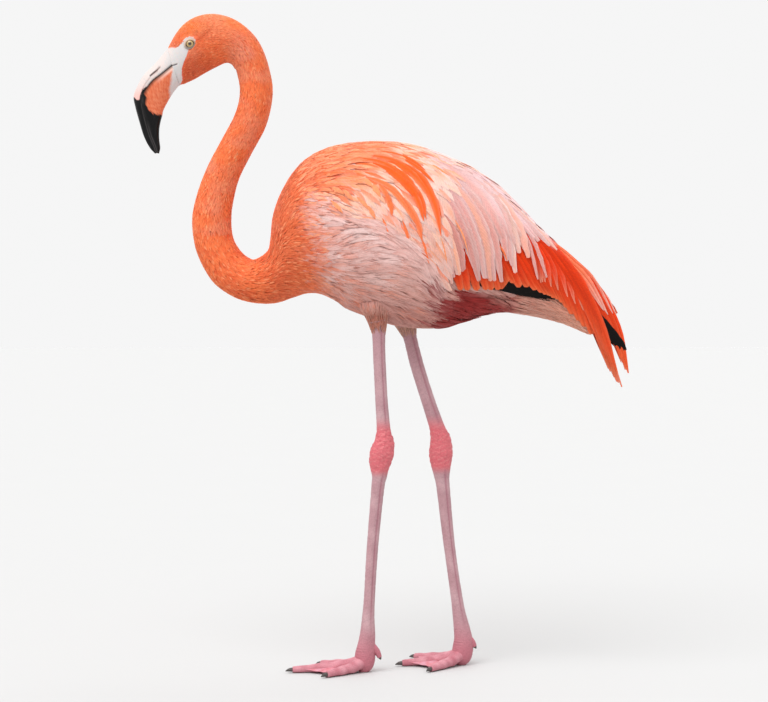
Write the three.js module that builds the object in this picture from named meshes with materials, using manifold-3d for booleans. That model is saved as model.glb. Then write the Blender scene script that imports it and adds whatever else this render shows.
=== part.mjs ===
// A life-size standing flamingo, as a still museum model. Run it with the npm packages three and manifold-3d.
// Millimetres, +Z up. The bird looks along -X, its left side is at -Y, and its feet stand on the plane z = 0.
// The origin is under the middle of its outline. Feathered nodes are a core with overlapping vanes fused on.
import * as THREE from "three";
import { mergeVertices } from "three/addons/utils/BufferGeometryUtils.js";
import Module from "manifold-3d";

const wasm = await Module();
wasm.setup();

// ---------------------------------------------------------------- driving dimensions, in mm

const GAP = 0.3; // between nodes that touch
const LEFT = -1; // the sign of y on the bird's left side
const RIGHT = 1;

// Head in profile: crown point [x, z], throat point [x, z], half width. From the bill's root to the nape.
const HEAD_STATIONS = [
  [-357, 1044, -339, 981, 23],
  [-342, 1070, -327, 986, 28],
  [-325, 1088, -312, 993, 32],
  [-303, 1100, -295, 1003, 35],
  [-276, 1103, -276, 1013, 36],
  [-246, 1094, -260, 1020, 35],
  [-219, 1073, -250, 1017, 32],
  [-201, 1049, -245, 1010, 30],
];
// Neck: centre x, centre z, radius, half width. From the nape down to the root in the breast.
const NECK_STATIONS = [
  [-216, 1009, 28.7, 27],
  [-210, 970, 29, 27],
  [-219, 925, 29, 27],
  [-243, 878, 28.7, 27],
  [-264, 836, 29, 27.5],
  [-278, 793, 31, 29],
  [-284, 755, 33, 31],
  [-279, 715, 33, 32],
  [-262, 682, 34.5, 34],
  [-233, 661, 37.5, 38],
  [-202, 657, 41.5, 46],
  [-172, 665, 49, 60],
  [-140, 680, 58, 76],
];
// Where the spine's loft, counted in stations, is parted into nodes.
const SPINE_PARTS = [
  ["head", 0, 8],
  ["neck_upper", 8, 11.5],
  ["neck_middle", 11.5, 15],
  ["neck_lower", 15, 20],
];

// Bill in profile: culmen [x, z], mouth line [x, z], gonys [x, z], half width. Its root is the head's end.
const MOUTH_SHARE = 0.5; // how far down the head's end the mouth line starts
const BILL_STATIONS = [
  [-377, 1020, -366, 999, -349, 969, 21],
  [-397, 1000, -381, 988, -358, 954, 19.5],
  [-409, 980, -391, 976, -365, 940, 18],
  [-415, 962, -398, 964, -367, 931, 16.5],
  [-412, 944, -399, 948, -370, 920, 14.5],
  [-406, 922, -394, 923, -372, 907, 12],
  [-398, 896, -387, 898, -372, 891, 9],
  [-389, 878, -380, 881, -371, 877, 6],
  [-381, 868, -376, 871, -371.5, 869, 3],
];
const MOUTH_GAP = 0.6; // the dark line between the mandibles
const UPPER_NARROW = 0.8; // the upper mandible's width over the lower one's
const GAPE = { x: -339, z: 1014, depth: 1.2 }; // corner of the mouth, on the cheek
const NOSTRIL = { from: [-370, 1011], to: [-385, 998], wide: 2.2, deep: 4, aside: 17 };
const EYE = { x: -317, z: 1047, radius: 8.2, proud: 2.6 };
const LID = { radius: 8.6, thick: 1.9 };

// Body in profile: x, back z, belly z, half width. From the breast to the tips of the folded wings.
const BODY_STATIONS = [
  [-184, 745, 712, 13],
  [-176, 788, 675, 42],
  [-164, 813, 648, 62],
  [-147, 836, 634, 78],
  [-118, 863, 628, 94],
  [-85, 878, 622, 103],
  [-48, 885, 602, 107],
  [8, 887, 582, 107],
  [53, 882, 574, 104],
  [100, 867, 574, 96],
  [134, 853, 584, 88],
  [168, 835, 594, 78],
  [202, 811, 599, 68],
  [252, 761, 597, 52],
  [303, 712, 584, 38],
  [354, 666, 557, 27],
  [396, 606, 510, 17],
  [416, 545, 490, 9],
];
const TORSO_END = 210; // x of the rump's rear face
// How far the wing's core lies under the body's outline, as room for its vanes: [x, depth] from the shoulder on.
const WING_SUNK = [[-150, 2.2], [-100, 4], [-40, 7.5], [20, 10], [416, 10]];
const WING_SHELL = 19; // how far its inner face lies under that outline
// The folded wing in side view, from the shoulder along its lower edge to the rump, and back over the spine.
const WING_OUTLINE = [
  [-148, 930],
  [-150, 776],
  [-123, 764],
  [-82, 761],
  [-33, 748],
  [24, 731],
  [65, 708],
  [98, 672],
  [118, 636],
  [198, 634],
  [272, 620],
  [290, 640],
  [296, 930],
];
const WING_SPLIT = 0.6; // half the slit between the wings along the back
const ROOT_DEPTH = 3; // how deep a vane's root is sunk
// Tiers of the folded wing's vanes. In each: the first and the last feather's root and tip in side view, the
// level of the first vane over the body's outline and the rise from each to the next, the bow of the shafts and
// the roll about them in degrees, and the vanes' size.
const WING_TIERS = [
  {
    name: "primaries", count: 4, level: -9.6, rise: 1.12, bow: 1, roll: 8,
    roots: [[219, 647], [266, 667]], tips: [[285, 614], [401, 538]],
    width: 16.4, thick: 0.7, steps: 4,
  },
  {
    name: "secondaries", count: 6, level: -6.5, rise: 0.82, bow: 3, roll: 3.4,
    roots: [[78, 704], [180, 743]], tips: [[134, 635], [295, 612]],
    width: 24.3, thick: 0.6, steps: 4,
  },
  {
    name: "greater_coverts", count: 6, level: -4.6, rise: 0, bow: 4.7, roll: 5.2,
    roots: [[-49, 773], [68, 846]], tips: [[106, 645], [155, 727]],
    width: 26.9, thick: 0.6, steps: 4,
  },
  {
    name: "median_coverts", count: 6, level: -2.4, rise: 0, bow: 3.7, roll: 4,
    roots: [[-103, 797], [-17, 871]], tips: [[-13, 743], [98, 809]],
    width: 26.2, thick: 0.6, steps: 4,
  },
  {
    name: "lesser_coverts", count: 5, level: 0.3, rise: 0, bow: 3.3, roll: 2,
    roots: [[-140, 792], [-78, 867]], tips: [[-78, 777], [16, 850]],
    width: 23.2, thick: 0.6, steps: 3,
  },
  {
    name: "tertials", count: 5, level: -5.9, rise: 1.52, bow: 3, roll: 5.8,
    roots: [[222, 664], [285, 700]], tips: [[300, 603], [413, 487]],
    width: 18.3, thick: 0.7, steps: 5,
  },
  {
    name: "scapulars", count: 6, level: -0.6, rise: 0.66, bow: 5, roll: 6.4,
    roots: [[19, 853], [149, 842]], tips: [[196, 650], [360, 637]],
    width: 24.7, thick: 0.6, steps: 5,
  },
  {
    name: "upper_scapulars", count: 5, level: 2, rise: 0.17, bow: 2.4, roll: 6.6,
    roots: [[7, 839], [44, 878]], tips: [[101, 748], [184, 834]],
    width: 25.9, thick: 0.6, steps: 4,
  },
];

// Tail in profile: x, top z, bottom z, half width.
const TAIL_STATIONS = [
  [TORSO_END + GAP, 697, 599, 36],
  [252, 673, 595, 32],
  [303, 632, 583, 25],
  [340, 600, 568, 17],
  [376, 570, 554, 9],
];
const TAIL_SUNK = 5.5; // how far the tail's core lies under its outline
const TAIL_CORE_END = 350; // x of the core's end
const TAIL_ROOM = 2.6; // what the wings leave free round the tail's outline
// Rows of the tail's vanes: x of root and tip, and the angles of the first and the last round the tail.
const TAIL_TIERS = [
  {
    name: "rectrices", count: 6, level: -2.6, from: 226, to: 372, angles: [-84, 84],
    width: 16, thick: 0.6, steps: 4, roll: 0,
  },
  {
    name: "under_coverts", count: 5, level: -2.6, from: 218, to: 352, angles: [118, 242],
    width: 17, thick: 0.6, steps: 4, roll: 0,
  },
];

// Legs: x, y, z, fore-and-aft radius, from the thigh hidden in the belly down to the floor.
const LEFT_LEG = [
  [-14, -44, 650, 42],
  [-8, -43, 612, 28],
  [-5, -42, 590, 19],
  [-3, -42, 572, 11.7],
  [-1, -42, 514, 10.4],
  [2, -42, 454, 10.4],
  [5, -42, 413, 11.3],
  [6, -42, 398, 12.6],
  [6.5, -42, 382, 16.7],
  [3, -42, 367, 20],
  [0, -42.5, 353, 18.6],
  [-1, -42.5, 340, 15.8],
  [-1.5, -42.5, 326, 12.5],
  [-4, -43, 308, 11],
  [-11, -43, 233, 9.8],
  [-15, -43, 179, 9.5],
  [-18, -43, 125, 9.3],
  [-20, -43, 92, 10.4],
  [-21, -43, 66, 12.6],
  [-23, -43, 46, 14.6],
  [-25, -43, 30, 17],
  [-26, -43, 14, 17.5],
  [-26, -43, 0, 13],
];
const RIGHT_LEG = [
  [28, 44, 648, 44],
  [36, 43, 608, 31],
  [43, 42, 584, 21],
  [49, 41, 564, 12.2],
  [62, 39.5, 512, 11.6],
  [79, 37.5, 457, 11.6],
  [92, 36, 418, 12.4],
  [98, 35.5, 400, 13.6],
  [103, 35, 382, 17.4],
  [103.5, 34, 364, 19.6],
  [103, 33.5, 349, 18.8],
  [104, 33, 334, 16],
  [105, 32.5, 320, 13.2],
  [107, 32, 303, 11.6],
  [115, 29.5, 225, 10],
  [122, 27.5, 170, 9.4],
  [130, 26, 115, 10],
  [134, 25, 88, 11.2],
  [138, 24, 66, 13.4],
  [141, 23, 47, 15.4],
  [141, 22.5, 31, 17.6],
  [139, 22, 14, 18],
  [138, 22, 0, 13],
];
const CUFF_RADIUS = 14; // of the thigh's feathers, where the bare tibia comes out of them
const LEG_SIDE = 0.82; // a leg is narrower from the front
// Stations at which a leg is parted into nodes.
const KNEE = 3;
const ANKLE_TOP = 7;
const ANKLE_END = 12;
const TARSUS_END = 19;

// Feet: where the toes part, and each toe's tip [x, y]; the hind toe's root and tip [x, y, z].
const LEFT_FOOT = {
  joint: [-27, -43],
  toes: { inner: [-100, 6], middle: [-146, -52], outer: [-88, -95] },
  hindRoot: [-9, -43, 34],
  hindTip: [-1, -42, 20],
};
const RIGHT_FOOT = {
  joint: [137, 22],
  toes: { inner: [84, -45], middle: [37, 8], outer: [60, 74] },
  hindRoot: [153, 22, 38],
  hindTip: [162, 22, 24],
};
const TOE = { rootZ: 19, rootRadius: 12.5, midRadius: 7.6, tipRadius: 5 };
const WEB = { thick: 1.4, reach: 0.86, scallop: 0.24, from: 0.12 };
const CLAW = { length: 12, radius: 3.6, droop: 2.4 };

// ---------------------------------------------------------------- small helpers

const vector = (x, y, z) => new THREE.Vector3(x, y, z);
const lerp = THREE.MathUtils.lerp;
const radians = THREE.MathUtils.degToRad;

// A smooth curve through (xs, ys): each piece is a cubic whose end slopes come from its neighbours.
function through(xs, ys) {
  const last = xs.length - 1;
  const slope = (i) => {
    const a = Math.max(i - 1, 0);
    const b = Math.min(i + 1, last);
    return (ys[b] - ys[a]) / (xs[b] - xs[a]);
  };
  return (x) => {
    let i = 0;
    while (i < last - 1 && x > xs[i + 1]) i++;
    const d = xs[i + 1] - xs[i];
    const t = THREE.MathUtils.clamp((x - xs[i]) / d, 0, 1);
    const a = slope(i) * d;
    const b = slope(i + 1) * d;
    const rise = ys[i + 1] - ys[i];
    return ys[i] + t * (a + t * (3 * rise - 2 * a - b + t * (a + b - 2 * rise)));
  };
}

// One curve for each column of a table of stations, read at a fractional station number.
function columns(rows) {
  const numbers = rows.map((_, i) => i);
  const curves = rows[0].map((_, c) => through(numbers, rows.map((row) => row[c])));
  return (station) => curves.map((curve) => curve(station));
}

// A closed solid of three.js geometry through rings of equally many points, with a flat cap at each end.
// With mirrored = true the far half of each ring is split the other way, so both faces of a thin blade match.
function ringGeometry(rings, mirrored = false) {
  const n = rings[0].length;
  const points = rings.flat();
  const index = [];
  const at = (ring, i) => ring * n + (i % n);
  for (let r = 0; r + 1 < rings.length; r++) {
    for (let i = 0; i < n; i++) {
      const [a, b, c, d] = [at(r, i), at(r, i + 1), at(r + 1, i + 1), at(r + 1, i)];
      if (mirrored && i >= n / 2) index.push(a, b, d, b, c, d);
      else index.push(a, b, c, a, c, d);
    }
  }
  for (const [ring, flip] of [[0, true], [rings.length - 1, false]]) {
    if (n === 4) {
      const [a, b, c, d] = [0, 1, 2, 3].map((i) => at(ring, flip ? 3 - i : i));
      index.push(a, b, c, a, c, d);
      continue;
    }
    const centre = points.length;
    points.push(rings[ring].reduce((sum, p) => sum.add(p), vector(0, 0, 0)).divideScalar(n));
    for (let i = 0; i < n; i++) {
      if (flip) index.push(centre, at(ring, i + 1), at(ring, i));
      else index.push(centre, at(ring, i), at(ring, i + 1));
    }
  }
  return new THREE.BufferGeometry().setFromPoints(points).setIndex(index);
}

// A geometry as a manifold-3d solid, turned right side out.
function solid(geometry) {
  const g = geometry.clone();
  g.deleteAttribute("normal");
  g.deleteAttribute("uv");
  const merged = mergeVertices(g, 1e-4);
  const vertProperties = merged.attributes.position.array;
  const triVerts = new Uint32Array(merged.index.array);
  const made = new wasm.Manifold(new wasm.Mesh({ numProp: 3, vertProperties, triVerts }));
  if (made.volume() >= 0) return made;
  for (let i = 0; i < triVerts.length; i += 3) {
    [triVerts[i + 1], triVerts[i + 2]] = [triVerts[i + 2], triVerts[i + 1]];
  }
  return new wasm.Manifold(new wasm.Mesh({ numProp: 3, vertProperties, triVerts }));
}

const loft = (rings, mirrored) => solid(ringGeometry(rings, mirrored));
const joined = (solids) => wasm.Manifold.union(solids);

// The largest closed surface of a solid, which fills sealed hollows and drops loose scraps.
function largest(made) {
  return made.decompose().reduce((best, piece) => (piece.volume() > best.volume() ? piece : best));
}

// A solid as a three.js mesh, with its own material.
function meshOf(name, made, look) {
  const { vertProperties, triVerts, numProp } = made.getMesh();
  const positions = new Float32Array((vertProperties.length / numProp) * 3);
  for (let i = 0; i < positions.length / 3; i++) {
    positions.set(vertProperties.subarray(i * numProp, i * numProp + 3), i * 3);
  }
  const geometry = new THREE.BufferGeometry();
  geometry.setAttribute("position", new THREE.BufferAttribute(positions, 3));
  geometry.setIndex(new THREE.BufferAttribute(triVerts, 1));
  geometry.computeVertexNormals();
  const mesh = new THREE.Mesh(geometry, new THREE.MeshStandardMaterial(look));
  mesh.name = name;
  return mesh;
}

// A box between two corners.
function boxSolid(low, high) {
  const size = high.map((h, i) => h - low[i]);
  const geometry = new THREE.BoxGeometry(...size);
  geometry.translate(...low.map((l, i) => l + size[i] / 2));
  return solid(geometry);
}

// An outline in side view, given as [x, z] points, extruded from y = from to y = to.
function sidePrism(outline, from, to) {
  const shape = new THREE.Shape(outline.map(([x, z]) => new THREE.Vector2(x, z)));
  const geometry = new THREE.ExtrudeGeometry(shape, { depth: to - from, bevelEnabled: false });
  geometry.rotateX(Math.PI / 2); // the shape's y turns to z, and its depth runs along -y
  geometry.translate(0, to, 0);
  return solid(geometry);
}

// ---------------------------------------------------------------- materials

const LOOKS = {
  orange: { color: 0xf0703f, roughness: 0.85, metalness: 0 },
  pink: { color: 0xe9a79a, roughness: 0.85, metalness: 0 },
  wing: { color: 0xf08a62, roughness: 0.75, metalness: 0 },
  upperBill: { color: 0xeecfc4, roughness: 0.4, metalness: 0 },
  lowerBill: { color: 0xe98a66, roughness: 0.4, metalness: 0 },
  eye: { color: 0xe8d59a, roughness: 0.1, metalness: 0 },
  leg: { color: 0xc98f96, roughness: 0.6, metalness: 0 },
  joint: { color: 0xd86e78, roughness: 0.6, metalness: 0 },
  claw: { color: 0x4a4340, roughness: 0.45, metalness: 0 },
};

// ---------------------------------------------------------------- head and neck

// The spine's stations, head and neck alike, as crown-side point, throat-side point and half width.
function spineStations() {
  const centre = new THREE.CatmullRomCurve3(NECK_STATIONS.map(([x, z]) => vector(x, 0, z)));
  const neck = NECK_STATIONS.map(([x, z, radius, half], i) => {
    const along = centre.getTangent(i / (NECK_STATIONS.length - 1));
    const out = [-along.z * radius, along.x * radius];
    return [x + out[0], z + out[1], x - out[0], z - out[1], half];
  });
  return [...HEAD_STATIONS, ...neck];
}

const spineAt = columns(spineStations());

// An elliptic ring in a plane across the profile, between its crown-side and throat-side points.
function spineRing(station, sides) {
  const [ox, oz, ix, iz, half] = spineAt(station);
  const ring = [];
  for (let i = 0; i < sides; i++) {
    const angle = (2 * Math.PI * i) / sides;
    const up = Math.cos(angle) / 2;
    ring.push(vector(lerp(ix, ox, 0.5 + up), half * Math.sin(angle), lerp(iz, oz, 0.5 + up)));
  }
  return ring;
}

function spineNode(from, to, perStation, sides) {
  const [x0, z0, x1, z1] = spineAt(from);
  const [x2, z2, x3, z3] = spineAt(from + 1);
  const step = Math.hypot((x2 + x3 - x0 - x1) / 2, (z2 + z3 - z0 - z1) / 2);
  const start = from === 0 ? 0 : from + GAP / step;
  const count = Math.ceil((to - from) * perStation);
  const rings = [];
  for (let i = 0; i <= count; i++) rings.push(spineRing(lerp(start, to, i / count), sides));
  return loft(rings);
}

// The centre of the eyeball, sunk in the cheek so that only its front stands proud.
function eyeCentre(side) {
  return vector(EYE.x, side * (cheekHalf() - EYE.radius + EYE.proud), EYE.z);
}

// The head's half width at the eye.
function cheekHalf() {
  let best = Infinity;
  let half = 0;
  for (let station = 0; station <= 6; station += 0.05) {
    const [ox, oz, ix, iz, w] = spineAt(station);
    const length = Math.hypot(ox - ix, oz - iz);
    const across = Math.abs((EYE.x - ix) * (oz - iz) - (EYE.z - iz) * (ox - ix)) / length;
    if (across < best) {
      best = across;
      const along = ((EYE.x - ix) * (ox - ix) + (EYE.z - iz) * (oz - iz)) / length ** 2;
      half = w * Math.sqrt(1 - (2 * along - 1) ** 2);
    }
  }
  return half;
}

function eyeBall(side, grow = 0) {
  const geometry = new THREE.SphereGeometry(EYE.radius + grow, 12, 8);
  geometry.translate(...eyeCentre(side).toArray());
  return solid(geometry);
}

// The bare ring of the lids, which stands round the eye like a thin tyre.
function lidRing(side) {
  const geometry = new THREE.TorusGeometry(LID.radius, LID.thick, 5, 14);
  geometry.rotateX(Math.PI / 2);
  geometry.translate(EYE.x, side * (cheekHalf() - 0.6), EYE.z);
  return solid(geometry);
}

// The short groove of the mouth's corner on the cheek.
function gapeGroove(side) {
  const [, , mouthX, mouthZ, , , half] = billRoot();
  const outline = [
    [mouthX - 2, mouthZ + 0.5],
    [GAPE.x, GAPE.z + 0.4],
    [GAPE.x, GAPE.z],
    [mouthX - 2, mouthZ - 0.5],
  ];
  const inner = half - GAPE.depth;
  return side === LEFT ? sidePrism(outline, -half - 20, -inner) : sidePrism(outline, inner, half + 20);
}

function headSolid() {
  const [, from, to] = SPINE_PARTS[0];
  const lids = [LEFT, RIGHT].map(lidRing);
  const cuts = [LEFT, RIGHT].flatMap((side) => [eyeBall(side, GAP), gapeGroove(side)]);
  return largest(joined([spineNode(from, to, 1.6, 20), ...lids]).subtract(joined(cuts)));
}

// ---------------------------------------------------------------- bill

// The bill's first station lies on the head's flat end, one gap away from it.
function billRoot() {
  const [cx, cz, tx, tz, half] = HEAD_STATIONS[0];
  const length = Math.hypot(tx - cx, tz - cz);
  const [nx, nz] = [((tz - cz) / length) * GAP, (-(tx - cx) / length) * GAP];
  const mouth = [lerp(cx, tx, MOUTH_SHARE) + nx, lerp(cz, tz, MOUTH_SHARE) + nz];
  return [cx + nx, cz + nz, ...mouth, tx + nx, tz + nz, half];
}

const billAt = columns([billRoot(), ...BILL_STATIONS]);

// A ring of one mandible: an arch from the mouth line over its ridge, closed by the flat of the mouth.
function mandibleRing(station, upper, steps) {
  const [cx, cz, mx, mz, gx, gz, half] = billAt(station);
  const [rx, rz] = upper ? [cx - mx, cz - mz] : [gx - mx, gz - mz];
  const lift = MOUTH_GAP / 2 / Math.hypot(rx, rz);
  const width = upper ? half * lerp(1, UPPER_NARROW, Math.min(station / 3, 1)) : half;
  const ring = [];
  for (let i = 0; i <= steps; i++) {
    const angle = lerp(-Math.PI / 2, Math.PI / 2, i / steps);
    const out = lift + (1 - lift) * Math.cos(angle) ** (upper ? 1 : 0.85);
    ring.push(vector(mx + rx * out, width * Math.sin(angle), mz + rz * out));
  }
  return ring;
}

function mandible(upper) {
  const rings = [];
  const perStation = 2;
  for (let i = 0; i <= BILL_STATIONS.length * perStation; i++) {
    rings.push(mandibleRing(i / perStation, upper, 8));
  }
  return loft(rings);
}

function nostril(side) {
  const { from, to, wide, deep, aside } = NOSTRIL;
  const geometry = new THREE.SphereGeometry(1, 8, 6);
  geometry.scale(Math.hypot(to[0] - from[0], to[1] - from[1]) / 2, deep, wide / 2);
  geometry.rotateY(Math.atan2(from[1] - to[1], to[0] - from[0]));
  geometry.translate((from[0] + to[0]) / 2, side * aside, (from[1] + to[1]) / 2);
  return solid(geometry);
}

// ---------------------------------------------------------------- body

const bodyX = BODY_STATIONS.map(([x]) => x);
const bodyColumn = (c) => through(bodyX, BODY_STATIONS.map((row) => row[c]));
const [backAt, bellyAt, halfAt] = [1, 2, 3].map(bodyColumn);
const middleAt = (x) => (backAt(x) + bellyAt(x)) / 2;
const tallAt = (x) => (backAt(x) - bellyAt(x)) / 2;

// A point on the body's outer surface. The angle is 0 at the ridge of the back, 90 at the side, 180 at the
// belly, and lift is how far the point stands off the surface.
function bodyPoint(x, angle, side, lift = 0) {
  const tall = Math.max(tallAt(x) + lift, 0.5);
  const wide = Math.max(halfAt(x) + lift, 0.5);
  return vector(x, side * wide * Math.sin(angle), middleAt(x) + tall * Math.cos(angle));
}

// The body's surface as a closed loft between two x, sunk by an amount that may depend on x. With stretch over
// 1 it is then made larger round the middle of the belly, so every face moves out by about the same.
function bodyLoft(from, to, sunk, steps, sides, stretch = 1) {
  const sunkAt = typeof sunk === "function" ? sunk : () => sunk;
  const rings = [];
  for (let i = 0; i <= steps; i++) {
    const share = i / steps;
    const x = lerp(from, to, from < -160 ? share ** 1.6 : share);
    const ring = [];
    for (let s = 0; s < sides; s++) ring.push(bodyPoint(x, (2 * Math.PI * s) / sides, RIGHT, -sunkAt(x)));
    rings.push(ring);
  }
  const geometry = ringGeometry(rings);
  geometry.translate(0, 0, -BODY_MIDDLE).scale(stretch, stretch, stretch).translate(0, 0, BODY_MIDDLE);
  return solid(geometry);
}

const BODY_MIDDLE = 735;
const STRETCH = 1 + GAP / 140;
const [BREAST_X] = BODY_STATIONS[0];
const WING_TIP_X = BODY_STATIONS[BODY_STATIONS.length - 1][0];
const [BODY_STEPS, BODY_SIDES] = [16, 24];
const bodyWhole = bodyLoft(BREAST_X, TORSO_END, 0, BODY_STEPS, BODY_SIDES);
const bodyClear = bodyLoft(BREAST_X, TORSO_END, 0, BODY_STEPS, BODY_SIDES, STRETCH);
const coreFrom = BREAST_X + 30;
const torsoCore = bodyLoft(coreFrom, TORSO_END, WING_SHELL + GAP, 14, 20);
const coreClear = bodyLoft(coreFrom, TORSO_END + GAP, WING_SHELL, 14, 20);
const wingSunk = through(WING_SUNK.map(([x]) => x), WING_SUNK.map(([, depth]) => depth));

// An outline with every edge moved in by a distance.
function inset(outline, distance) {
  const turning = outline.reduce((sum, [x, z], i) => {
    const [nextX, nextZ] = outline[(i + 1) % outline.length];
    return sum + x * nextZ - nextX * z;
  }, 0);
  const way = Math.sign(turning) * distance;
  const count = outline.length;
  return outline.map(([x, z], i) => {
    const [px, pz] = outline[(i + count - 1) % count];
    const [nx, nz] = outline[(i + 1) % count];
    const a = new THREE.Vector2(x - px, z - pz).normalize();
    const b = new THREE.Vector2(nx - x, nz - z).normalize();
    const share = way / (1 + a.dot(b));
    return [x - (a.y + b.y) * share, z + (a.x + b.x) * share];
  });
}

// The wing's outline in side view as a block on one side of the bird. With toMiddle it reaches the middle.
function wingBlock(side, outline, toMiddle = false) {
  const inner = toMiddle ? 0 : WING_SPLIT;
  return side === LEFT ? sidePrism(outline, -200, -inner) : sidePrism(outline, inner, 200);
}

function torsoSolid() {
  const blocks = joined([LEFT, RIGHT].map((side) => wingBlock(side, WING_OUTLINE, true)));
  return largest(bodyWhole.subtract(blocks).add(torsoCore));
}

// ---------------------------------------------------------------- feathers

// The section of a vane across its shaft, as [share of the half width, share of the thickness].
const BLADE = [[-1, 0], [-1, 1], [1, 1], [1, 0]];

// A feather's vane along a path: path(share) gives its point, and outward(share) the way its face looks.
// It is narrow at the root, widest in its middle, and turned about its shaft by the roll. With flip it is the
// mirror image, point for point.
function vane(path, outward, { width, thick, steps, roll, point = 0.15, flip = false }) {
  const section = BLADE.map(([a, h]) => [flip ? -a : a, h]);
  const breadth = through([0, 0.3, 0.65, 0.88, 1], [0.3, 0.92, 1, 0.8, point]);
  const tilt = Math.tan(radians(roll));
  const rings = [];
  for (let i = 0; i <= steps; i++) {
    const share = (i / steps) ** 0.85;
    const here = path(share);
    const along = path(Math.min(share + 0.01, 1)).sub(path(Math.max(share - 0.01, 0))).normalize();
    const across = outward(share).cross(along).normalize();
    const up = along.clone().cross(across).normalize();
    const half = (width / 2) * breadth(share);
    rings.push(section.map(([a, h]) => here.clone()
      .addScaledVector(across, a * half)
      .addScaledVector(up, h * thick + a * half * tilt)));
  }
  return loft(rings, true);
}

// A vane over the body's surface from one side-view point [x, z] to another. Its root is sunk in the wing's
// core, it rises quickly to its level, and it bows by an angle on the way.
function bodyVane(side, root, tip, level, bow, form) {
  const angleOf = ([x, z]) => Math.acos(THREE.MathUtils.clamp((z - middleAt(x)) / tallAt(x), -0.97, 0.985));
  const [a0, a1] = [angleOf(root), angleOf(tip)];
  const angleAt = (share) => lerp(a0, a1, share) - radians(bow) * Math.sin(Math.PI * share);
  const xAt = (share) => lerp(root[0], tip[0], share);
  const sunk = -wingSunk(root[0]) - ROOT_DEPTH;
  const liftAt = through([0, 0.16, 0.4, 1], [sunk, level - 1, level, level]);
  const path = (share) => bodyPoint(xAt(share), angleAt(share), side, liftAt(share));
  const outward = (share) => {
    const [x, a] = [xAt(share), angleAt(share)];
    const alongX = bodyPoint(x + 2, a, side).sub(bodyPoint(x - 2, a, side));
    const alongAngle = bodyPoint(x, a + 0.05, side).sub(bodyPoint(x, a - 0.05, side));
    const n = alongX.cross(alongAngle).normalize();
    return n.y * side < 0 ? n.negate() : n;
  };
  return vane(path, outward, { ...form, roll: form.roll * side, flip: side === RIGHT });
}

function tierVanes(side, tier) {
  const vanes = [];
  for (let i = 0; i < tier.count; i++) {
    const share = i / (tier.count - 1);
    const between = ([a, b]) => [lerp(a[0], b[0], share), lerp(a[1], b[1], share)];
    const level = tier.level + i * tier.rise;
    vanes.push(bodyVane(side, between(tier.roots), between(tier.tips), level, tier.bow, tier));
  }
  return vanes;
}

// The room that the torso and the tail leave for a wing.
function wingRoom(made, side) {
  const middle = side === LEFT
    ? boxSolid([-300, -WING_SPLIT, 300], [500, 300, 1000])
    : boxSolid([-300, -300, 300], [500, WING_SPLIT, 1000]);
  const flesh = bodyClear.subtract(wingBlock(side, inset(WING_OUTLINE, GAP), true));
  return largest(made.subtract(joined([middle, flesh, coreClear, tailLoft(TAIL_ROOM)])));
}

function wingCore(side) {
  const outer = bodyLoft(BREAST_X + 8, WING_TIP_X, wingSunk, 18, BODY_SIDES);
  return outer.intersect(wingBlock(side, inset(WING_OUTLINE, GAP)));
}

function wingSolid(side) {
  const vanes = WING_TIERS.flatMap((tier) => tierVanes(side, tier));
  return wingRoom(joined([wingCore(side), ...vanes]), side);
}

// ---------------------------------------------------------------- tail

const tailX = TAIL_STATIONS.map(([x]) => x);
const tailColumn = (c) => through(tailX, TAIL_STATIONS.map((row) => row[c]));
const [tailTop, tailBottom, tailHalf] = [1, 2, 3].map(tailColumn);

function tailPoint(x, angle, lift = 0) {
  const middle = (tailTop(x) + tailBottom(x)) / 2;
  const tall = (tailTop(x) - tailBottom(x)) / 2 + lift;
  return vector(x, (tailHalf(x) + lift) * Math.sin(angle), middle + tall * Math.cos(angle));
}

function tailLoft(grow, from = tailX[0], to = tailX[tailX.length - 1]) {
  const rings = [];
  const [steps, sides] = [5, 12];
  for (let i = 0; i <= steps; i++) {
    const ring = [];
    for (let s = 0; s < sides; s++) ring.push(tailPoint(lerp(from, to, i / steps), (2 * Math.PI * s) / sides, grow));
    rings.push(ring);
  }
  return loft(rings);
}

// The tail's core, with its feathers as a fan of vanes above and a row of coverts below.
function tailSolid() {
  const core = tailLoft(-TAIL_SUNK, tailX[0], TAIL_CORE_END);
  const vanes = [];
  for (const tier of TAIL_TIERS) {
    for (let i = 0; i < tier.count; i++) {
      const angle = radians(lerp(tier.angles[0], tier.angles[1], i / (tier.count - 1)));
      const level = tier.level + (i % 2) * 1.1;
      const liftAt = through([0, 0.2, 0.4, 1], [-TAIL_SUNK - ROOT_DEPTH, level - 1, level, level]);
      const path = (share) => tailPoint(lerp(tier.from, tier.to, share), angle, liftAt(share));
      const outward = () => vector(0.25, Math.sin(angle), Math.cos(angle));
      vanes.push(vane(path, outward, tier));
    }
  }
  return largest(joined([core, ...vanes]));
}

// ---------------------------------------------------------------- legs

// A leg's line of stations [x, y, z, radius], read as rings across the line from one station to another.
function legRings(stations, from, to, sides, squeeze, { trim = 0, radii = {} } = {}) {
  const curve = new THREE.CatmullRomCurve3(stations.map(([x, y, z]) => vector(x, y, z)));
  const rings = [];
  for (let station = from; station <= to; station++) {
    const share = station / (stations.length - 1);
    const centre = curve.getPoint(share);
    const along = curve.getTangent(share);
    if (station === from) centre.addScaledVector(along, trim);
    const ahead = vector(1, 0, 0).addScaledVector(along, -along.x).normalize();
    const aside = along.clone().cross(ahead);
    const radius = radii[station] ?? stations[station][3];
    const ring = [];
    for (let i = 0; i < sides; i++) {
      const angle = (2 * Math.PI * i) / sides;
      ring.push(centre.clone()
        .addScaledVector(ahead, radius * Math.cos(angle))
        .addScaledVector(aside, radius * squeeze * Math.sin(angle)));
    }
    rings.push(ring);
  }
  return rings;
}

// ---------------------------------------------------------------- feet

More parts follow.
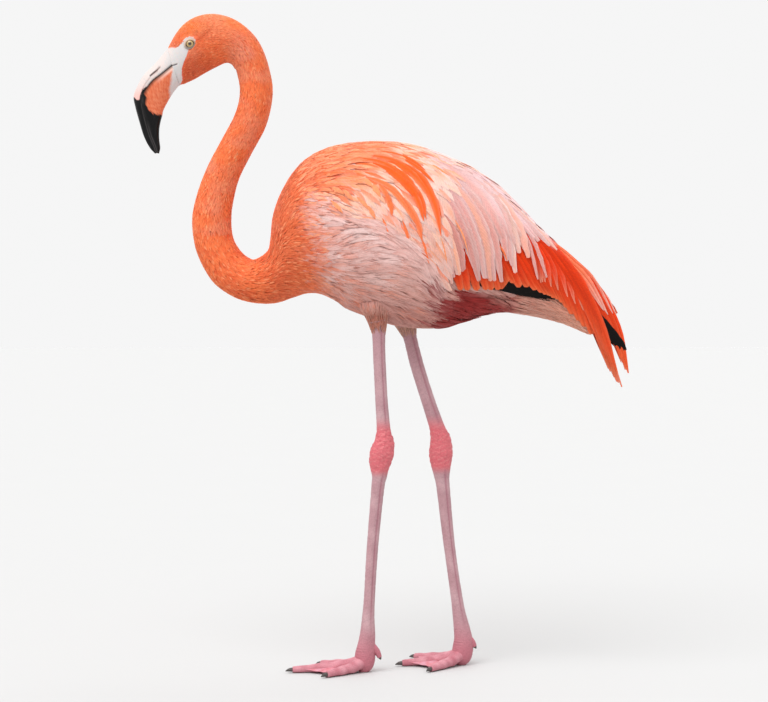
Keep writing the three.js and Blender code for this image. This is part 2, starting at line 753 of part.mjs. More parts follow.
// Rings of a toe from the joint to its tip, with its sole pressed flat on the floor.
function toeRings(joint, tip, sides = 8) {
  const along = vector(tip[0] - joint[0], tip[1] - joint[1], 0);
  const ahead = along.clone().normalize();
  const aside = vector(-ahead.y, ahead.x, 0);
  const radiusAt = through([0, 0.3, 0.65, 1], [TOE.rootRadius, 9, TOE.midRadius, TOE.tipRadius]);
  const heightAt = through([0, 0.3, 0.65, 1], [TOE.rootZ, 10, 7, TOE.tipRadius]);
  const rings = [];
  for (const share of [0, 0.16, 0.36, 0.6, 0.82, 1]) {
    const radius = radiusAt(share);
    const centre = vector(joint[0], joint[1], heightAt(share)).addScaledVector(along, share);
    const ring = [];
    for (let i = 0; i < sides; i++) {
      const angle = (2 * Math.PI * i) / sides;
      const p = centre.clone().addScaledVector(aside, radius * Math.cos(angle));
      ring.push(p.setZ(Math.max(centre.z + radius * Math.sin(angle), 0)));
    }
    rings.push(ring);
  }
  return rings;
}

// The web between two toes: a thin plate from the joint out to an edge that curves in between them.
function webSolid(joint, tipA, tipB) {
  const [longSteps, wideSteps] = [4, 4];
  const point = (u, v, dz) => {
    const reach = WEB.reach - WEB.scallop * Math.sin(Math.PI * v);
    const share = lerp(WEB.from, reach, u);
    const x = lerp(lerp(joint[0], tipA[0], share), lerp(joint[0], tipB[0], share), v);
    const y = lerp(lerp(joint[1], tipA[1], share), lerp(joint[1], tipB[1], share), v);
    const sag = 3.5 * Math.sin(Math.PI * v);
    return vector(x, y, lerp(11, 3.6, Math.min(share * 1.4, 1)) - sag * (1 - 0.5 * share) + dz);
  };
  const rings = [];
  for (let i = 0; i <= longSteps; i++) {
    const u = i / longSteps;
    const lower = [];
    const upper = [];
    for (let j = 0; j <= wideSteps; j++) {
      lower.push(point(u, j / wideSteps, -WEB.thick / 2));
      upper.push(point(u, j / wideSteps, WEB.thick / 2));
    }
    rings.push([...upper, ...lower.reverse()]);
  }
  return loft(rings, true);
}

// A short cone that droops to its point, from a flat root at the tip of a toe.
function clawSolid(root, ahead, radius, length, droop) {
  const start = root.clone().addScaledVector(ahead, GAP);
  const aside = vector(-ahead.y, ahead.x, 0).normalize();
  const up = ahead.clone().cross(aside).normalize();
  if (up.z < 0) up.negate();
  const rings = [[0, 1, 0], [0.45, 0.8, 0.2], [0.8, 0.45, 0.62], [1, 0.12, 1]].map(([share, size, drop]) => {
    const centre = start.clone().addScaledVector(ahead, length * share);
    centre.z -= droop * drop;
    const ring = [];
    for (let i = 0; i < 6; i++) {
      const angle = (2 * Math.PI * i) / 6;
      const p = centre.clone()
        .addScaledVector(aside, radius * 0.8 * size * Math.cos(angle))
        .addScaledVector(up, radius * size * Math.sin(angle));
      ring.push(p.setZ(Math.max(p.z, 0.4)));
    }
    return ring;
  });
  return loft(rings);
}

function hindToe({ hindRoot: [x, y, z], hindTip: [tx, ty, tz] }) {
  const stations = [
    [lerp(x, tx, -0.6), lerp(y, ty, -0.6), z + 3, 4.4],
    [lerp(x, tx, 0.4), lerp(y, ty, 0.4), lerp(z, tz, 0.4), 3.9],
    [tx, ty, tz, 2.8],
  ];
  const curve = new THREE.CatmullRomCurve3(stations.map(([a, b, c]) => vector(a, b, c)));
  return { made: loft(legRings(stations, 0, 2, 8, 0.9)), tip: vector(tx, ty, tz), ahead: curve.getTangent(1) };
}

function addLeg(group, label, leg, foot) {
  const thighRings = legRings(leg, 0, KNEE, 16, 0.9, { radii: { [KNEE]: CUFF_RADIUS } });
  group.add(meshOf(`thigh_${label}`, largest(loft(thighRings).subtract(bodyClear)), LOOKS.pink));
  const parts = [
    ["tibia", KNEE, ANKLE_TOP, LOOKS.leg],
    ["ankle", ANKLE_TOP, ANKLE_END, LOOKS.joint],
    ["tarsus", ANKLE_END, TARSUS_END, LOOKS.leg],
  ];
  for (const [name, from, to, look] of parts) {
    const made = loft(legRings(leg, from, to, 12, LEG_SIDE, { trim: GAP }));
    group.add(meshOf(`${name}_${label}`, made, look));
  }
  const blockRings = legRings(leg, TARSUS_END, leg.length - 1, 12, LEG_SIDE, { trim: GAP });
  blockRings.forEach((ring, i) => ring.forEach((p) => p.setZ(i < blockRings.length - 1 ? Math.max(p.z, 0.2) : 0)));
  const block = loft(blockRings);
  const tips = Object.entries(foot.toes);
  const toes = tips.map(([, tip]) => loft(toeRings(foot.joint, tip)));
  const webs = [0, 1].map((i) => webSolid(foot.joint, tips[i][1], tips[i + 1][1]));
  const hind = hindToe(foot);
  const footMade = largest(joined([block, ...toes, ...webs, hind.made]));
  group.add(meshOf(`foot_${label}`, footMade, LOOKS.leg));
  for (const [name, tip] of tips) {
    const ahead = vector(tip[0] - foot.joint[0], tip[1] - foot.joint[1], 0).normalize();
    const claw = clawSolid(vector(tip[0], tip[1], TOE.tipRadius), ahead, CLAW.radius, CLAW.length, CLAW.droop);
    group.add(meshOf(`claw_${name}_${label}`, claw, LOOKS.claw));
  }
  group.add(meshOf(`claw_hind_${label}`, clawSolid(hind.tip, hind.ahead, 2, 6, 0), LOOKS.claw));
}

// ---------------------------------------------------------------- the bird

const flamingo = new THREE.Group();
flamingo.add(meshOf("head", headSolid(), LOOKS.orange));
for (const [name, from, to] of SPINE_PARTS.slice(1)) {
  const made = spineNode(from, to, 1.5, 20);
  flamingo.add(meshOf(name, largest(made.subtract(bodyClear)), LOOKS.orange));
}
const nostrils = joined([LEFT, RIGHT].map(nostril));
flamingo.add(meshOf("bill_upper", largest(mandible(true).subtract(nostrils)), LOOKS.upperBill));
flamingo.add(meshOf("bill_lower", mandible(false), LOOKS.lowerBill));
flamingo.add(meshOf("torso", torsoSolid(), LOOKS.pink));
flamingo.add(meshOf("tail", tailSolid(), LOOKS.pink));
for (const [side, label] of [[LEFT, "left"], [RIGHT, "right"]]) {
  flamingo.add(meshOf(`eye_${label}`, eyeBall(side), LOOKS.eye));
  flamingo.add(meshOf(`wing_${label}`, wingSolid(side), LOOKS.wing));
}
addLeg(flamingo, "left", LEFT_LEG, LEFT_FOOT);
addLeg(flamingo, "right", RIGHT_LEG, RIGHT_FOOT);

export default flamingo;
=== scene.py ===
"""A life-size standing flamingo: skin, bill, eyes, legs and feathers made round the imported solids.

Shapes are worked out in millimetres, +Z up, with the bird looking along -X and its left side at -Y, and they
become metres where a mesh is made. Feathers are thin closed vanes that grow from smooth tubes, the sheets.
"""
import math
from types import SimpleNamespace

import bpy
import numpy as np
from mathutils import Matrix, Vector


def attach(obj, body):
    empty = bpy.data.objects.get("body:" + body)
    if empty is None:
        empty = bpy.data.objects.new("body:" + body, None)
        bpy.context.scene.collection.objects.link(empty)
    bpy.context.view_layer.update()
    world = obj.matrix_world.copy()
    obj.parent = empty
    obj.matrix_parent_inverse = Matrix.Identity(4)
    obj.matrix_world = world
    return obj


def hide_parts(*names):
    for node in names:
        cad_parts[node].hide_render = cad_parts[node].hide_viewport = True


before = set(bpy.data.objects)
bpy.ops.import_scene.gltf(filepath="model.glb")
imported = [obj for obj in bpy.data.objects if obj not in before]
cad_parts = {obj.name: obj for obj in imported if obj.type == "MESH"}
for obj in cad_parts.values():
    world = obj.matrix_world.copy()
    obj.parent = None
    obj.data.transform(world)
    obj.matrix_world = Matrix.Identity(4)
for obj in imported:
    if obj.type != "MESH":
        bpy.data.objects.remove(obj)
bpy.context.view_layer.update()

# -------- driving dimensions, in mm

MM = 0.001
LEFT, RIGHT = -1, 1
SIDES = ((LEFT, "left"), (RIGHT, "right"))

# Head in profile: crown point x, z, throat point x, z and half width, from the bill's root to the nape.
HEAD_STATIONS = [
    [-357, 1044, -339, 981, 23],
    [-342, 1070, -327, 986, 28],
    [-325, 1088, -312, 993, 32],
    [-303, 1098.5, -295, 1003, 35],
    [-276, 1101, -276, 1013, 36],
    [-246, 1092.5, -260, 1020, 35],
    [-219, 1073, -250, 1017, 32],
    [-201, 1049, -245, 1010, 30],
]
# Neck: centre x, z, radius and half width, down to where it enters the breast.
NECK_STATIONS = [
    [-214.6, 1009, 27.3, 27],
    [-208.6, 970, 27.6, 27],
    [-218, 925, 27.8, 27],
    [-242.4, 878, 27.6, 27],
    [-264, 836, 28.4, 27.5],
    [-278, 793, 31, 29],
    [-284, 755, 33, 31],
    [-279, 715, 33, 32],
    [-262, 682, 34.5, 34],
    [-243.3, 664.5, 35.8, 37.2],
]
# Breast, where the sections fan out from the neck's to upright ones: as in the head's table.
BREAST_STATIONS = [
    [-209, 690, -230, 619.3, 42.5],
    [-190, 703.5, -182, 614.8, 53],
    [-185, 724, -144, 626, 64],
    [-181, 762, -124, 632, 74],
    [-168, 800, -106, 632, 84],
    [-146, 837, -90, 627, 93],
    [-118, 863, -75, 619, 99],
    [-84, 878, -60, 608, 104],
]
# Body, to the tips of the folded wings: x, back z, belly z, half width.
BODY_STATIONS = [
    [-48, 885, 602, 107],
    [8, 887, 582, 107],
    [53, 882, 574, 104],
    [100, 867, 574, 96],
    [134, 853, 584, 88],
    [168, 835, 594, 78],
    [202, 811, 599, 68],
    [252, 761, 597, 52],
    [303, 712, 584, 38],
    [354, 666, 557, 27],
    [396, 606, 510, 17],
    [416, 545, 490, 9],
]
NECK_END = len(HEAD_STATIONS) + len(NECK_STATIONS) - 1  # station numbers along the spine
BODY_START = NECK_END + len(BREAST_STATIONS) + 1
RUMP = BODY_START + 5.2  # where the skin leaves the wings and narrows to the tail
# Tail: x, top z, bottom z, half width. Its skin starts further up, inside the body.
TAIL_STATIONS = [
    [210, 697, 599, 36],
    [252, 673, 595, 32],
    [303, 632, 583, 25],
    [340, 600, 568, 17],
    [376, 570, 554, 9],
]
TAIL_SKIN = [
    [198, 778, 605, 46], [215, 708, 603, 34], [252, 664, 601, 26], [303, 626, 589, 19], [345, 592, 574, 8],
]
# How far the skin lies under the feathers' outline: station number, depth.
COAT_DEPTH = [[0, 0.3], [2, 1.1], [7, 1.5], [NECK_END - 3, 2.3], [BODY_START, 2.3], [RUMP, 4]]
WING_DEPTH = 7  # how much further it lies in under the flight feathers

# The edge between the head's feathers and the bare face, in side view from the forehead round the eye's rear
# to the chin, and the box in front of it.
FACE_EDGE = [
    [-357, 1043], [-347, 1043], [-342.5, 1041], [-336, 1046], [-329, 1053.5], [-325.5, 1057], [-318, 1059],
    [-311, 1057.5], [-307.5, 1053], [-309.5, 1046.5], [-315, 1040.5], [-319, 1038], [-322, 1030],
    [-325, 1023.5], [-328.5, 1016], [-331.5, 1007], [-332, 997], [-331.5, 989.5], [-338, 980],
]
FACE_FRONT = [[-345, 970], [-430, 970], [-430, 1043]]
EYE = SimpleNamespace(x=-317, z=1047, radius=8.2, proud=2.6, iris=5.9, pupil=2.3)
SOCKET = SimpleNamespace(deep=5.5, inner=5.5, outer=9.5)
LIDS = SimpleNamespace(long=7.3, tall=5.7, tilt=24)  # the opening's half sizes, and its tilt in degrees
# Section through the lids: distance from the opening's edge outwards, and height over the cheek.
LID_SECTION = [
    [-0.6, -3.2], [-0.35, 0.6], [0.35, 1.5], [1.1, 1.0], [1.7, 1.25], [2.6, 0.5], [3.9, -1.6], [1.6, -3.4],
]
GAPE = SimpleNamespace(line=[[-339, 1014.5], [-348, 1012]], wide=1.1, deep=1.2)
CHIN_FOLD = SimpleNamespace(line=[[-339, 1013], [-334, 1003], [-334, 990]], wide=3.2, high=0.7)
BROW_FOLD = SimpleNamespace(line=[[-330, 1056], [-318, 1061], [-304, 1056]], wide=4, high=1.2)
# The line in side view along which a groove's shade is painted behind the eye.
BEHIND_EYE_SHADE_LINE = [[-306, 1053], [-296, 1060], [-284, 1070]]

# Bill in profile: culmen x, z, mouth line x, z, gonys x, z, half width, from the head to the tip.
BILL_STATIONS = [
    [-355.2, 1045, -346.4, 1012.6, -337.4, 981.2, 23],
    [-357.3, 1043.9, -348.3, 1012.4, -339.3, 980.9, 23],
    [-377, 1020, -366, 999, -349, 969, 21],
    [-397, 1000, -381, 988, -358, 954, 19.5],
    [-409, 980, -391, 976, -365, 940, 18],
    [-415, 962, -398, 964, -367, 931, 16.5],
    [-412, 944, -399, 948, -370, 920, 14.5],
    [-406, 922, -394, 923, -372, 907, 12],
    [-398, 896, -387, 898, -372, 891, 9],
    [-388.5, 877.5, -379.5, 880, -370.5, 877, 6.4],
    [-379.5, 867.3, -376, 868, -372.5, 867.3, 2.6],
]
MOUTH_GAP = 0.3
UPPER_NARROW = 0.8  # the upper mandible's width as a share of the lower one's
NOSTRIL = SimpleNamespace(line=[[-369.3, 1011], [-385.2, 995.5]], wide=1.5, deep=2.4)
BILL_GROOVE = SimpleNamespace(line=[[-372, 1004], [-388, 990], [-400, 974], [-405, 962]], wide=0.9, deep=0.35)
# Lines in side view: where the black begins on either mandible, and the rear edge of the lower one's orange.
UPPER_BLACK = [[-430, 966], [-414, 962], [-409, 957.5], [-405, 956], [-403, 961], [-400, 972], [-390, 980]]
LOWER_BLACK = [[-402, 975], [-396, 955], [-391.6, 945.4], [-386.4, 937.7], [-377.5, 932.6], [-355, 931]]
FACE_WEDGE = [[-346.6, 1004], [-350.5, 985.4], [-353.2, 972]]

# Legs: x, y, z and fore-and-aft radius, from the thigh hidden in the belly down to the floor.
LEFT_LEG = [
    [-14, -44, 650, 42], [-8, -43, 612, 28], [-5, -42, 590, 19], [-3, -42, 572, 11.7], [-1, -42, 514, 10.4],
    [2, -42, 454, 10.4], [5, -42, 413, 11.3], [6, -42, 398, 12.6], [6.5, -42, 382, 16.7], [3, -42, 367, 20],
    [0, -42.5, 353, 18.6], [-1, -42.5, 340, 15.8], [-1.5, -42.5, 326, 12.5], [-4, -43, 308, 11],
    [-11, -43, 233, 9.8], [-15, -43, 179, 9.5], [-18, -43, 125, 9.3], [-20, -43, 92, 10.4],
    [-21, -43, 66, 12.6], [-23, -43, 46, 14.6], [-25, -43, 30, 17], [-27, -43, 14, 16.5], [-31, -43, 4, 11],
    [-34, -43, 0, 5],
]
RIGHT_LEG = [
    [28, 44, 648, 44], [36, 43, 608, 31], [43, 42, 584, 21], [49, 41, 564, 12.2], [62, 39.5, 512, 11.6],
    [79, 37.5, 457, 11.6], [92, 36, 418, 12.4], [98, 35.5, 400, 13.6], [103, 35, 382, 17.4],
    [103.5, 34, 364, 19.6], [103, 33.5, 349, 18.8], [104, 33, 334, 16], [105, 32.5, 320, 13.2],
    [107, 32, 303, 11.6], [115, 29.5, 225, 10], [122, 27.5, 170, 9.4], [130, 26, 115, 10],
    [134, 25, 88, 11.2], [138, 24, 66, 13.4], [141, 23, 47, 15.4], [141, 22.5, 31, 17.6],
    [138, 22, 14, 17], [134, 22, 4, 11], [131, 22, 0, 5],
]
LEGS = {"left": LEFT_LEG, "right": RIGHT_LEG}
THIGH_END = 3  # the station where the bare leg comes out of the feathers
THIGH_COAT = [8, 7, 6, 3.5]  # how far the thigh's skin lies under its feathers, by station
CUFF_RADIUS = 14
LEG_SIDE = 0.82  # the legs' width as a share of their depth
SCALES = SimpleNamespace(plate=4.6, row=3.1, per_radian=4.2, high=0.4, toe=4.2)
FEET = {
    "left": SimpleNamespace(
        joint=(-27, -43), toes={"inner": (-100, 6), "middle": (-146, -52), "outer": (-88, -95)},
        hind_root=np.array([-9.0, -43, 40]), hind_tip=np.array([-1.0, -42, 24]),
    ),
    "right": SimpleNamespace(
        joint=(137, 22), toes={"inner": (84, -45), "middle": (37, 8), "outer": (60, 74)},
        hind_root=np.array([152.0, 22, 45]), hind_tip=np.array([161.0, 22, 31]),
    ),
}
TOE = SimpleNamespace(root_z=19, root_radius=12.5, mid_radius=7.6, tip_radius=5)
WEB = SimpleNamespace(thick=1.0, reach=0.95, scallop=0.15, start=0.1, hollow=7)
CLAW = SimpleNamespace(length=12, radius=3.6, droop=2.4)

# The lower edge of the folded wing in side view, from the shoulder to the rump.
WING_EDGE = [
    [-150, 792], [-130, 784], [-95, 770], [-63, 756], [-23, 746], [12, 734], [33, 723], [57, 708], [74, 690],
    [89, 670], [101, 648], [119, 640], [198, 638], [280, 620],
]

# -------- numbers, fields and noise


def tone(red, green, blue):
    """A colour given as it looks on a screen, 0 to 255, as the linear numbers that shaders take."""
    c = np.array([red, green, blue]) / 255
    return np.where(c <= 0.04045, c / 12.92, ((c + 0.055) / 1.055) ** 2.4)


# The coat.
ORANGE = tone(251, 117, 66)
DEEP_ORANGE = tone(228, 88, 48)
LIGHT_ORANGE = tone(255, 152, 106)
VIVID = tone(250, 88, 8)
RED_ORANGE = tone(238, 58, 8)
SCARLET = tone(180, 38, 14)
PEACH = tone(250, 186, 158)
PINK = tone(238, 180, 170)
PALE_PINK = tone(248, 212, 206)
DUSTY = tone(206, 140, 124)
BELLY_PINK_AND_SHADE = tone(190, 122, 110)
CREAM = tone(240, 218, 200)
CRIMSON = tone(150, 44, 42)
BLACK = tone(14, 10, 9)
CROWN = tone(255, 132, 60)
SALMON = tone(246, 146, 114)
# Painted shade of a groove behind the eye.
CHEEK_RED_AND_SHADE = tone(212, 80, 42)
BEHIND_EYE_SHADE = tone(200, 62, 24)
NAPE_PINK_AND_HIGHLIGHT = tone(236, 136, 112)
RUSSET = tone(214, 92, 58)
SPECKLE = tone(232, 120, 84)
WARM_DOWN = tone(236, 132, 98)
# Cuffs: a shaded copy of one colour for the near thigh and a lit copy for the far one, as painted light.
SHADED_CUFF = tone(170, 90, 72)
LIT_CUFF = tone(196, 150, 134)
BRUSH = tone(236, 160, 132)
# Wings: coverts, plumes and the tips of the flight feathers.
COVERT = tone(244, 192, 176)
ROSY_COVERT = tone(222, 152, 138)
PLUME_ROSE = tone(226, 170, 162)
LILAC_PLUME = tone(240, 198, 204)
PINK_PLUME = tone(230, 160, 152)
DUSKY_PLUME = tone(204, 122, 110)
LOW_PLUME = tone(188, 96, 82)
ROSY_PLUME = tone(232, 168, 150)
SECONDARY_TIP = tone(244, 122, 74)
TERTIAL_TIP = tone(238, 118, 74)
RIDGE_TIP = tone(244, 132, 92)
UPPER_TERTIAL = tone(244, 116, 72)
# Face, eyes and bill.
BONE = tone(206, 202, 201)
SKIN_PINK = tone(232, 208, 200)
EYE_RING = tone(205, 196, 190)
GAPE_SHADE = tone(70, 45, 42)
LOWER_LID = tone(150, 138, 130)
UPPER_LID = tone(228, 192, 166)
LID_RIM_AND_CREASE_SHADE = tone(84, 58, 48)
LID_EDGE = tone(214, 104, 60)
PUPIL = tone(10, 7, 6)
INNER_IRIS = tone(132, 98, 52)
OUTER_IRIS = tone(196, 168, 110)
IRIS_RIM_AND_LID_SHADOW = tone(62, 38, 30)
BILL_PINK = tone(244, 190, 182)
BILL_GROOVE_SHADE = tone(150, 120, 116)
NOSTRIL_SHADE = tone(72, 38, 36)
BILL_ORANGE = tone(214, 104, 66)
BILL_LIGHT = tone(232, 136, 98)
BILL_RED = tone(190, 76, 50)
BILL_EDGE = tone(240, 204, 190)
MOUTH_SHADE = tone(80, 50, 46)
HORN_BLACK = tone(4, 4, 5)
HORN_GREY = tone(38, 34, 35)
HORN_SHINE = tone(72, 68, 68)
# Legs and feet.
MAUVE = tone(178, 136, 142)
PALE_MAUVE = tone(200, 164, 168)
ROSE = tone(206, 100, 108)
JOINT_PINK = tone(240, 150, 150)
LEG_GROOVE_SHADE = tone(158, 92, 108)
LEG_CREASE_SHADE = tone(128, 66, 74)
FOOT_PINK = tone(184, 108, 120)
TOE_PINK = tone(214, 150, 160)
SOLE_CONTACT_SHADE = tone(120, 70, 76)
WEB_PINK = tone(208, 148, 162)
CLAW_GREY = tone(82, 74, 72)
CLAW_TIP = tone(60, 54, 52)


def round_turn(count):
    """Evenly spaced angles all the way round."""
    return 2 * math.pi * np.arange(count) / count


def unit(vectors):
    return vectors / np.maximum(np.linalg.norm(vectors, axis=-1, keepdims=True), 1e-9)


def dot(a, b):
    return (a * b).sum(-1)


def mix(a, b, share):
    """Between a and b, with the shares given for each of them."""
    share = np.asarray(share)[..., None]
    return a + (b - a) * share


def ease(x, low, high):
    """0 below low, 1 above high, and smooth in between."""
    t = np.clip((np.asarray(x, float) - low) / (high - low), 0, 1)
    return t * t * (3 - 2 * t)


def through(rows, at):
    """A table of stations read at fractional row numbers, along smooth curves through its rows."""
    rows = np.asarray(rows, float)
    at = np.atleast_1d(np.asarray(at, float))
    last = len(rows) - 1
    i = np.clip(np.floor(at).astype(int), 0, last - 1)
    t = (at - i)[:, None]
    here, there = rows[i], rows[i + 1]
    leave = (there - rows[np.maximum(i - 1, 0)]) / np.where(i > 0, 2, 1)[:, None]
    arrive = (rows[np.minimum(i + 2, last)] - here) / np.where(i + 2 <= last, 2, 1)[:, None]
    rise = there - here
    return here + t * (leave + t * (3 * rise - 2 * leave - arrive + t * (leave + arrive - 2 * rise)))


def read_line(table, x):
    """A two-column table read at x, straight between its rows."""
    table = np.asarray(table, float)
    return np.interp(x, table[:, 0], table[:, 1])


def wobble(points, size, seed):
    """Smooth noise from about -1 to 1 over points, in lumps of about the given size."""
    dice = np.random.default_rng(seed)
    total = np.zeros(points.shape[:-1])
    for _ in range(7):
        wave = unit(dice.normal(size=3)) * 2 * math.pi / size * dice.uniform(0.6, 1.7)
        total += np.sin(points @ wave + dice.uniform(0, 2 * math.pi))
    return total / 3


def inside(outline, x, z):
    """Whether side-view points lie in a closed outline."""
    outline = np.asarray(outline, float)
    within = np.zeros(np.shape(x), bool)
    for (x0, z0), (x1, z1) in zip(outline, np.roll(outline, -1, axis=0)):
        crosses = (z0 > z) != (z1 > z)
        with np.errstate(divide="ignore", invalid="ignore"):
            cut = x0 + (z - z0) * (x1 - x0) / (z1 - z0)
        within ^= crosses & (x < cut)
    return within


def line_distance(line, x, z):
    """How far side-view points lie from a line of points."""
    line = np.asarray(line, float)
    best = np.full(np.shape(x), 1e9)
    for (x0, z0), (x1, z1) in zip(line, line[1:]):
        dx, dz = x1 - x0, z1 - z0
        t = np.clip(((x - x0) * dx + (z - z0) * dz) / (dx * dx + dz * dz), 0, 1)
        best = np.minimum(best, np.hypot(x - x0 - t * dx, z - z0 - t * dz))
    return best


# -------- meshes


def loft_faces(lofts, rings, sides):
    """Faces of closed lofts with equally many rings and sides: quads along each and a cap at both ends."""
    ring, side = np.meshgrid(np.arange(rings - 1), np.arange(sides), indexing="ij")
    here = ring * sides + side
    beside = ring * sides + (side + 1) % sides
    quad = np.stack([here, here + sides, beside + sides, beside], -1).reshape(-1, 4)
    ends = np.stack([np.arange(sides), np.arange(sides)[::-1] + (rings - 1) * sides])
    start = np.arange(lofts)[:, None, None] * rings * sides
    return [(start + quad).reshape(-1, 4), (start + ends).reshape(-1, sides)]


class Heap:
    """Points, faces and colours gathered for one mesh."""

    def __init__(self):
        self.points, self.faces, self.tints, self.bake, self.barbs = [], [], [], [], []
        self.count = 0

    def add(self, points, faces, tints, bake=None, barbs=None):
        points = points.reshape(-1, 3)
        flat = np.zeros((len(points), 2))
        self.points.append(points)
        self.faces += [f + self.count for f in faces]
        self.tints.append(tints.reshape(-1, 3))
        self.bake.append(flat if bake is None else bake.reshape(-1, 2))
        self.barbs.append(flat if barbs is None else barbs.reshape(-1, 2))
        self.count += len(points)

    def loft(self, points, tints, flip=False):
        """Adds one closed loft of rings. Rings that go round the other way are flipped."""
        tints = np.broadcast_to(tints, points.shape)
        if flip:
            points, tints = points[:, ::-1], tints[:, ::-1]
        self.add(points, loft_faces(1, *points.shape[:2]), tints)

    def piece(self, name, material, replaced=(), sharp=60, unwrapped=False):
        """The heap as a Blender object that rides on the root body."""
        points = np.concatenate(self.points) * MM
        mesh = bpy.data.meshes.new(name)
        mesh.vertices.add(len(points))
        mesh.vertices.foreach_set("co", points.astype(np.float32).ravel())
        corners = np.concatenate([f.ravel() for f in self.faces]).astype(np.int32)
        sizes = np.concatenate([np.full(len(f), f.shape[1]) for f in self.faces])
        starts = np.concatenate([[0], np.cumsum(sizes)[:-1]])
        mesh.loops.add(len(corners))
        mesh.loops.foreach_set("vertex_index", corners)
        mesh.polygons.add(len(sizes))
        mesh.polygons.foreach_set("loop_start", starts.astype(np.int32))
        mesh.polygons.foreach_set("use_smooth", np.ones(len(sizes), bool))
        mesh.update(calc_edges=True)
        tint = mesh.color_attributes.new("Tint", "FLOAT_COLOR", "POINT")
        colours = np.concatenate([np.concatenate(self.tints), np.ones((len(points), 1))], 1)
        tint.data.foreach_set("color", np.clip(colours, 0, 1).astype(np.float32).ravel())
        if unwrapped:
            for label, values in (("OFBake", self.bake), ("Barbs", self.barbs)):
                layer = mesh.uv_layers.new(name=label)
                layer.data.foreach_set("uv", np.concatenate(values)[corners].astype(np.float32).ravel())
        mesh.set_sharp_from_angle(angle=math.radians(sharp))
        mesh.materials.append(material)
        made = bpy.data.objects.new(name, mesh)
        bpy.context.scene.collection.objects.link(made)
        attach(made, "root")
        if replaced:
            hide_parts(*replaced)


class Sheet:
    """A smooth tube given by rings of points, read at fractional row numbers and turns round it."""

    def __init__(self, points, atlas=(0.0, 0.8)):
        self.points = points
        self.atlas = atlas  # where its unwrap lies on the map: start and length
        self.rows, self.sides = points.shape[:2]
        self.along = np.gradient(points, axis=0)
        self.around = (np.roll(points, -1, 1) - np.roll(points, 1, 1)) / 2
        self.up = unit(np.cross(self.along, self.around))
        lengths = np.linalg.norm(np.diff(points.mean(1), axis=0), axis=-1)
        self.reach = np.concatenate([[0], np.cumsum(lengths)])

    def read(self, rows, turns):
        """Points, normals and the two directions of the sheet. Past its last ring it goes on straight."""
        rows = np.maximum(rows, 0)
        kept = np.minimum(rows, self.rows - 1.001)
        i = kept.astype(int)
        t = (kept - i)[:, None]
        column = (turns % 1) * self.sides
        c = column.astype(int) % self.sides
        d = (c + 1) % self.sides
        u = (column - np.floor(column))[:, None]

        def at(grid):
            near = grid[i, c] * (1 - u) + grid[i, d] * u
            far = grid[i + 1, c] * (1 - u) + grid[i + 1, d] * u
            return near * (1 - t) + far * t

        along = at(self.along)
        return at(self.points) + along * (rows - kept)[:, None], unit(at(self.up)), along, at(self.around)

    def unwrap(self, rows, turns):
        """Places on the map: the length along the sheet, and the turn round it."""
        share = np.interp(rows, np.arange(self.rows), self.reach) / self.reach[-1]
        return np.stack([self.atlas[0] + self.atlas[1] * share, turns % 1], -1)


def ring(crown, throat, half, sides):
    """Elliptic rings between crown and throat points [x, z], from the crown and round by the right side."""
    turn = round_turn(sides)
    up = (1 + np.cos(turn)) / 2
    x = throat[:, :1] + (crown - throat)[:, :1] * up
    z = throat[:, 1:] + (crown - throat)[:, 1:] * up
    return np.stack([x, half[:, None] * np.sin(turn), z], -1)


def upright_rings(table, sides):
    """Elliptic rings from rows of x, top z, bottom z and half width."""
    return ring(table[:, [0, 1]], table[:, [0, 2]], table[:, 3], sides)


# -------- the spine: head, neck and body as one sheet


def spine_table():
    """Rows of crown or back x, z, throat or belly x, z and half width, from the bill's root to the rear."""
    neck = np.array(NECK_STATIONS, float)
    ahead = unit(np.gradient(neck[:, :2], axis=0))
    out = np.stack([-ahead[:, 1], ahead[:, 0]], 1) * neck[:, 2:3]
    neck_rows = np.concatenate([neck[:, :2] + out, neck[:, :2] - out, neck[:, 3:]], 1)
    body_rows = [[x, back, x, belly, half] for x, back, belly, half in BODY_STATIONS]
    return np.concatenate([HEAD_STATIONS, neck_rows, BREAST_STATIONS, body_rows])


SPINE = spine_table()
SPINE_SIDES = 176


def spine_places():
    """Station numbers of the spine's rings: close on the head, wider on the neck and the body."""
    fine = np.linspace(0, len(SPINE) - 1, 4000)
    rows = through(SPINE, fine)
    middle = (rows[:, :2] + rows[:, 2:4]) / 2
    steps = np.linalg.norm(np.diff(middle, axis=0), axis=1)
    spacing = np.interp(fine[1:], [0, 6, 9, NECK_END, BODY_START], [1.3, 1.3, 3.2, 3.6, 6])
    count = np.concatenate([[0], np.cumsum(steps / spacing)])
    return np.interp(np.arange(int(count[-1]) + 1), count, fine)


STATION = spine_places()


def spine_points():
    rows = through(SPINE, STATION)
    return ring(rows[:, :2], rows[:, 2:4], rows[:, 4], SPINE_SIDES)


spine = Sheet(spine_points())


def station_row(station):
    """The spine's row number at a station."""
    return np.interp(station, STATION, np.arange(len(STATION)))


def cheek_half():
    """The head's half width at the eye."""
    head = spine.points[: int(station_row(6)), : SPINE_SIDES // 2].reshape(-1, 3)
    return head[np.argmin(np.hypot(head[:, 0] - EYE.x, head[:, 2] - EYE.z)), 1]


def eye_centre(side):
    return np.array([EYE.x, side * (cheek_half() - EYE.radius + EYE.proud), EYE.z])


def bare(points):
    """Whether points lie on the bare face."""
    return inside(FACE_EDGE + FACE_FRONT, points[..., 0], points[..., 2]) & (points[..., 0] < -300)


# -------- materials


SHADER_INPUTS = {
    "colour": "Base Color", "rough": "Roughness", "specular": "Specular IOR Level", "sheen": "Sheen Weight",
    "sheen_rough": "Sheen Roughness", "coat": "Coat Weight", "coat_rough": "Coat Roughness",
    "subsurface": "Subsurface Weight", "subsurface_reach": "Subsurface Scale",
}


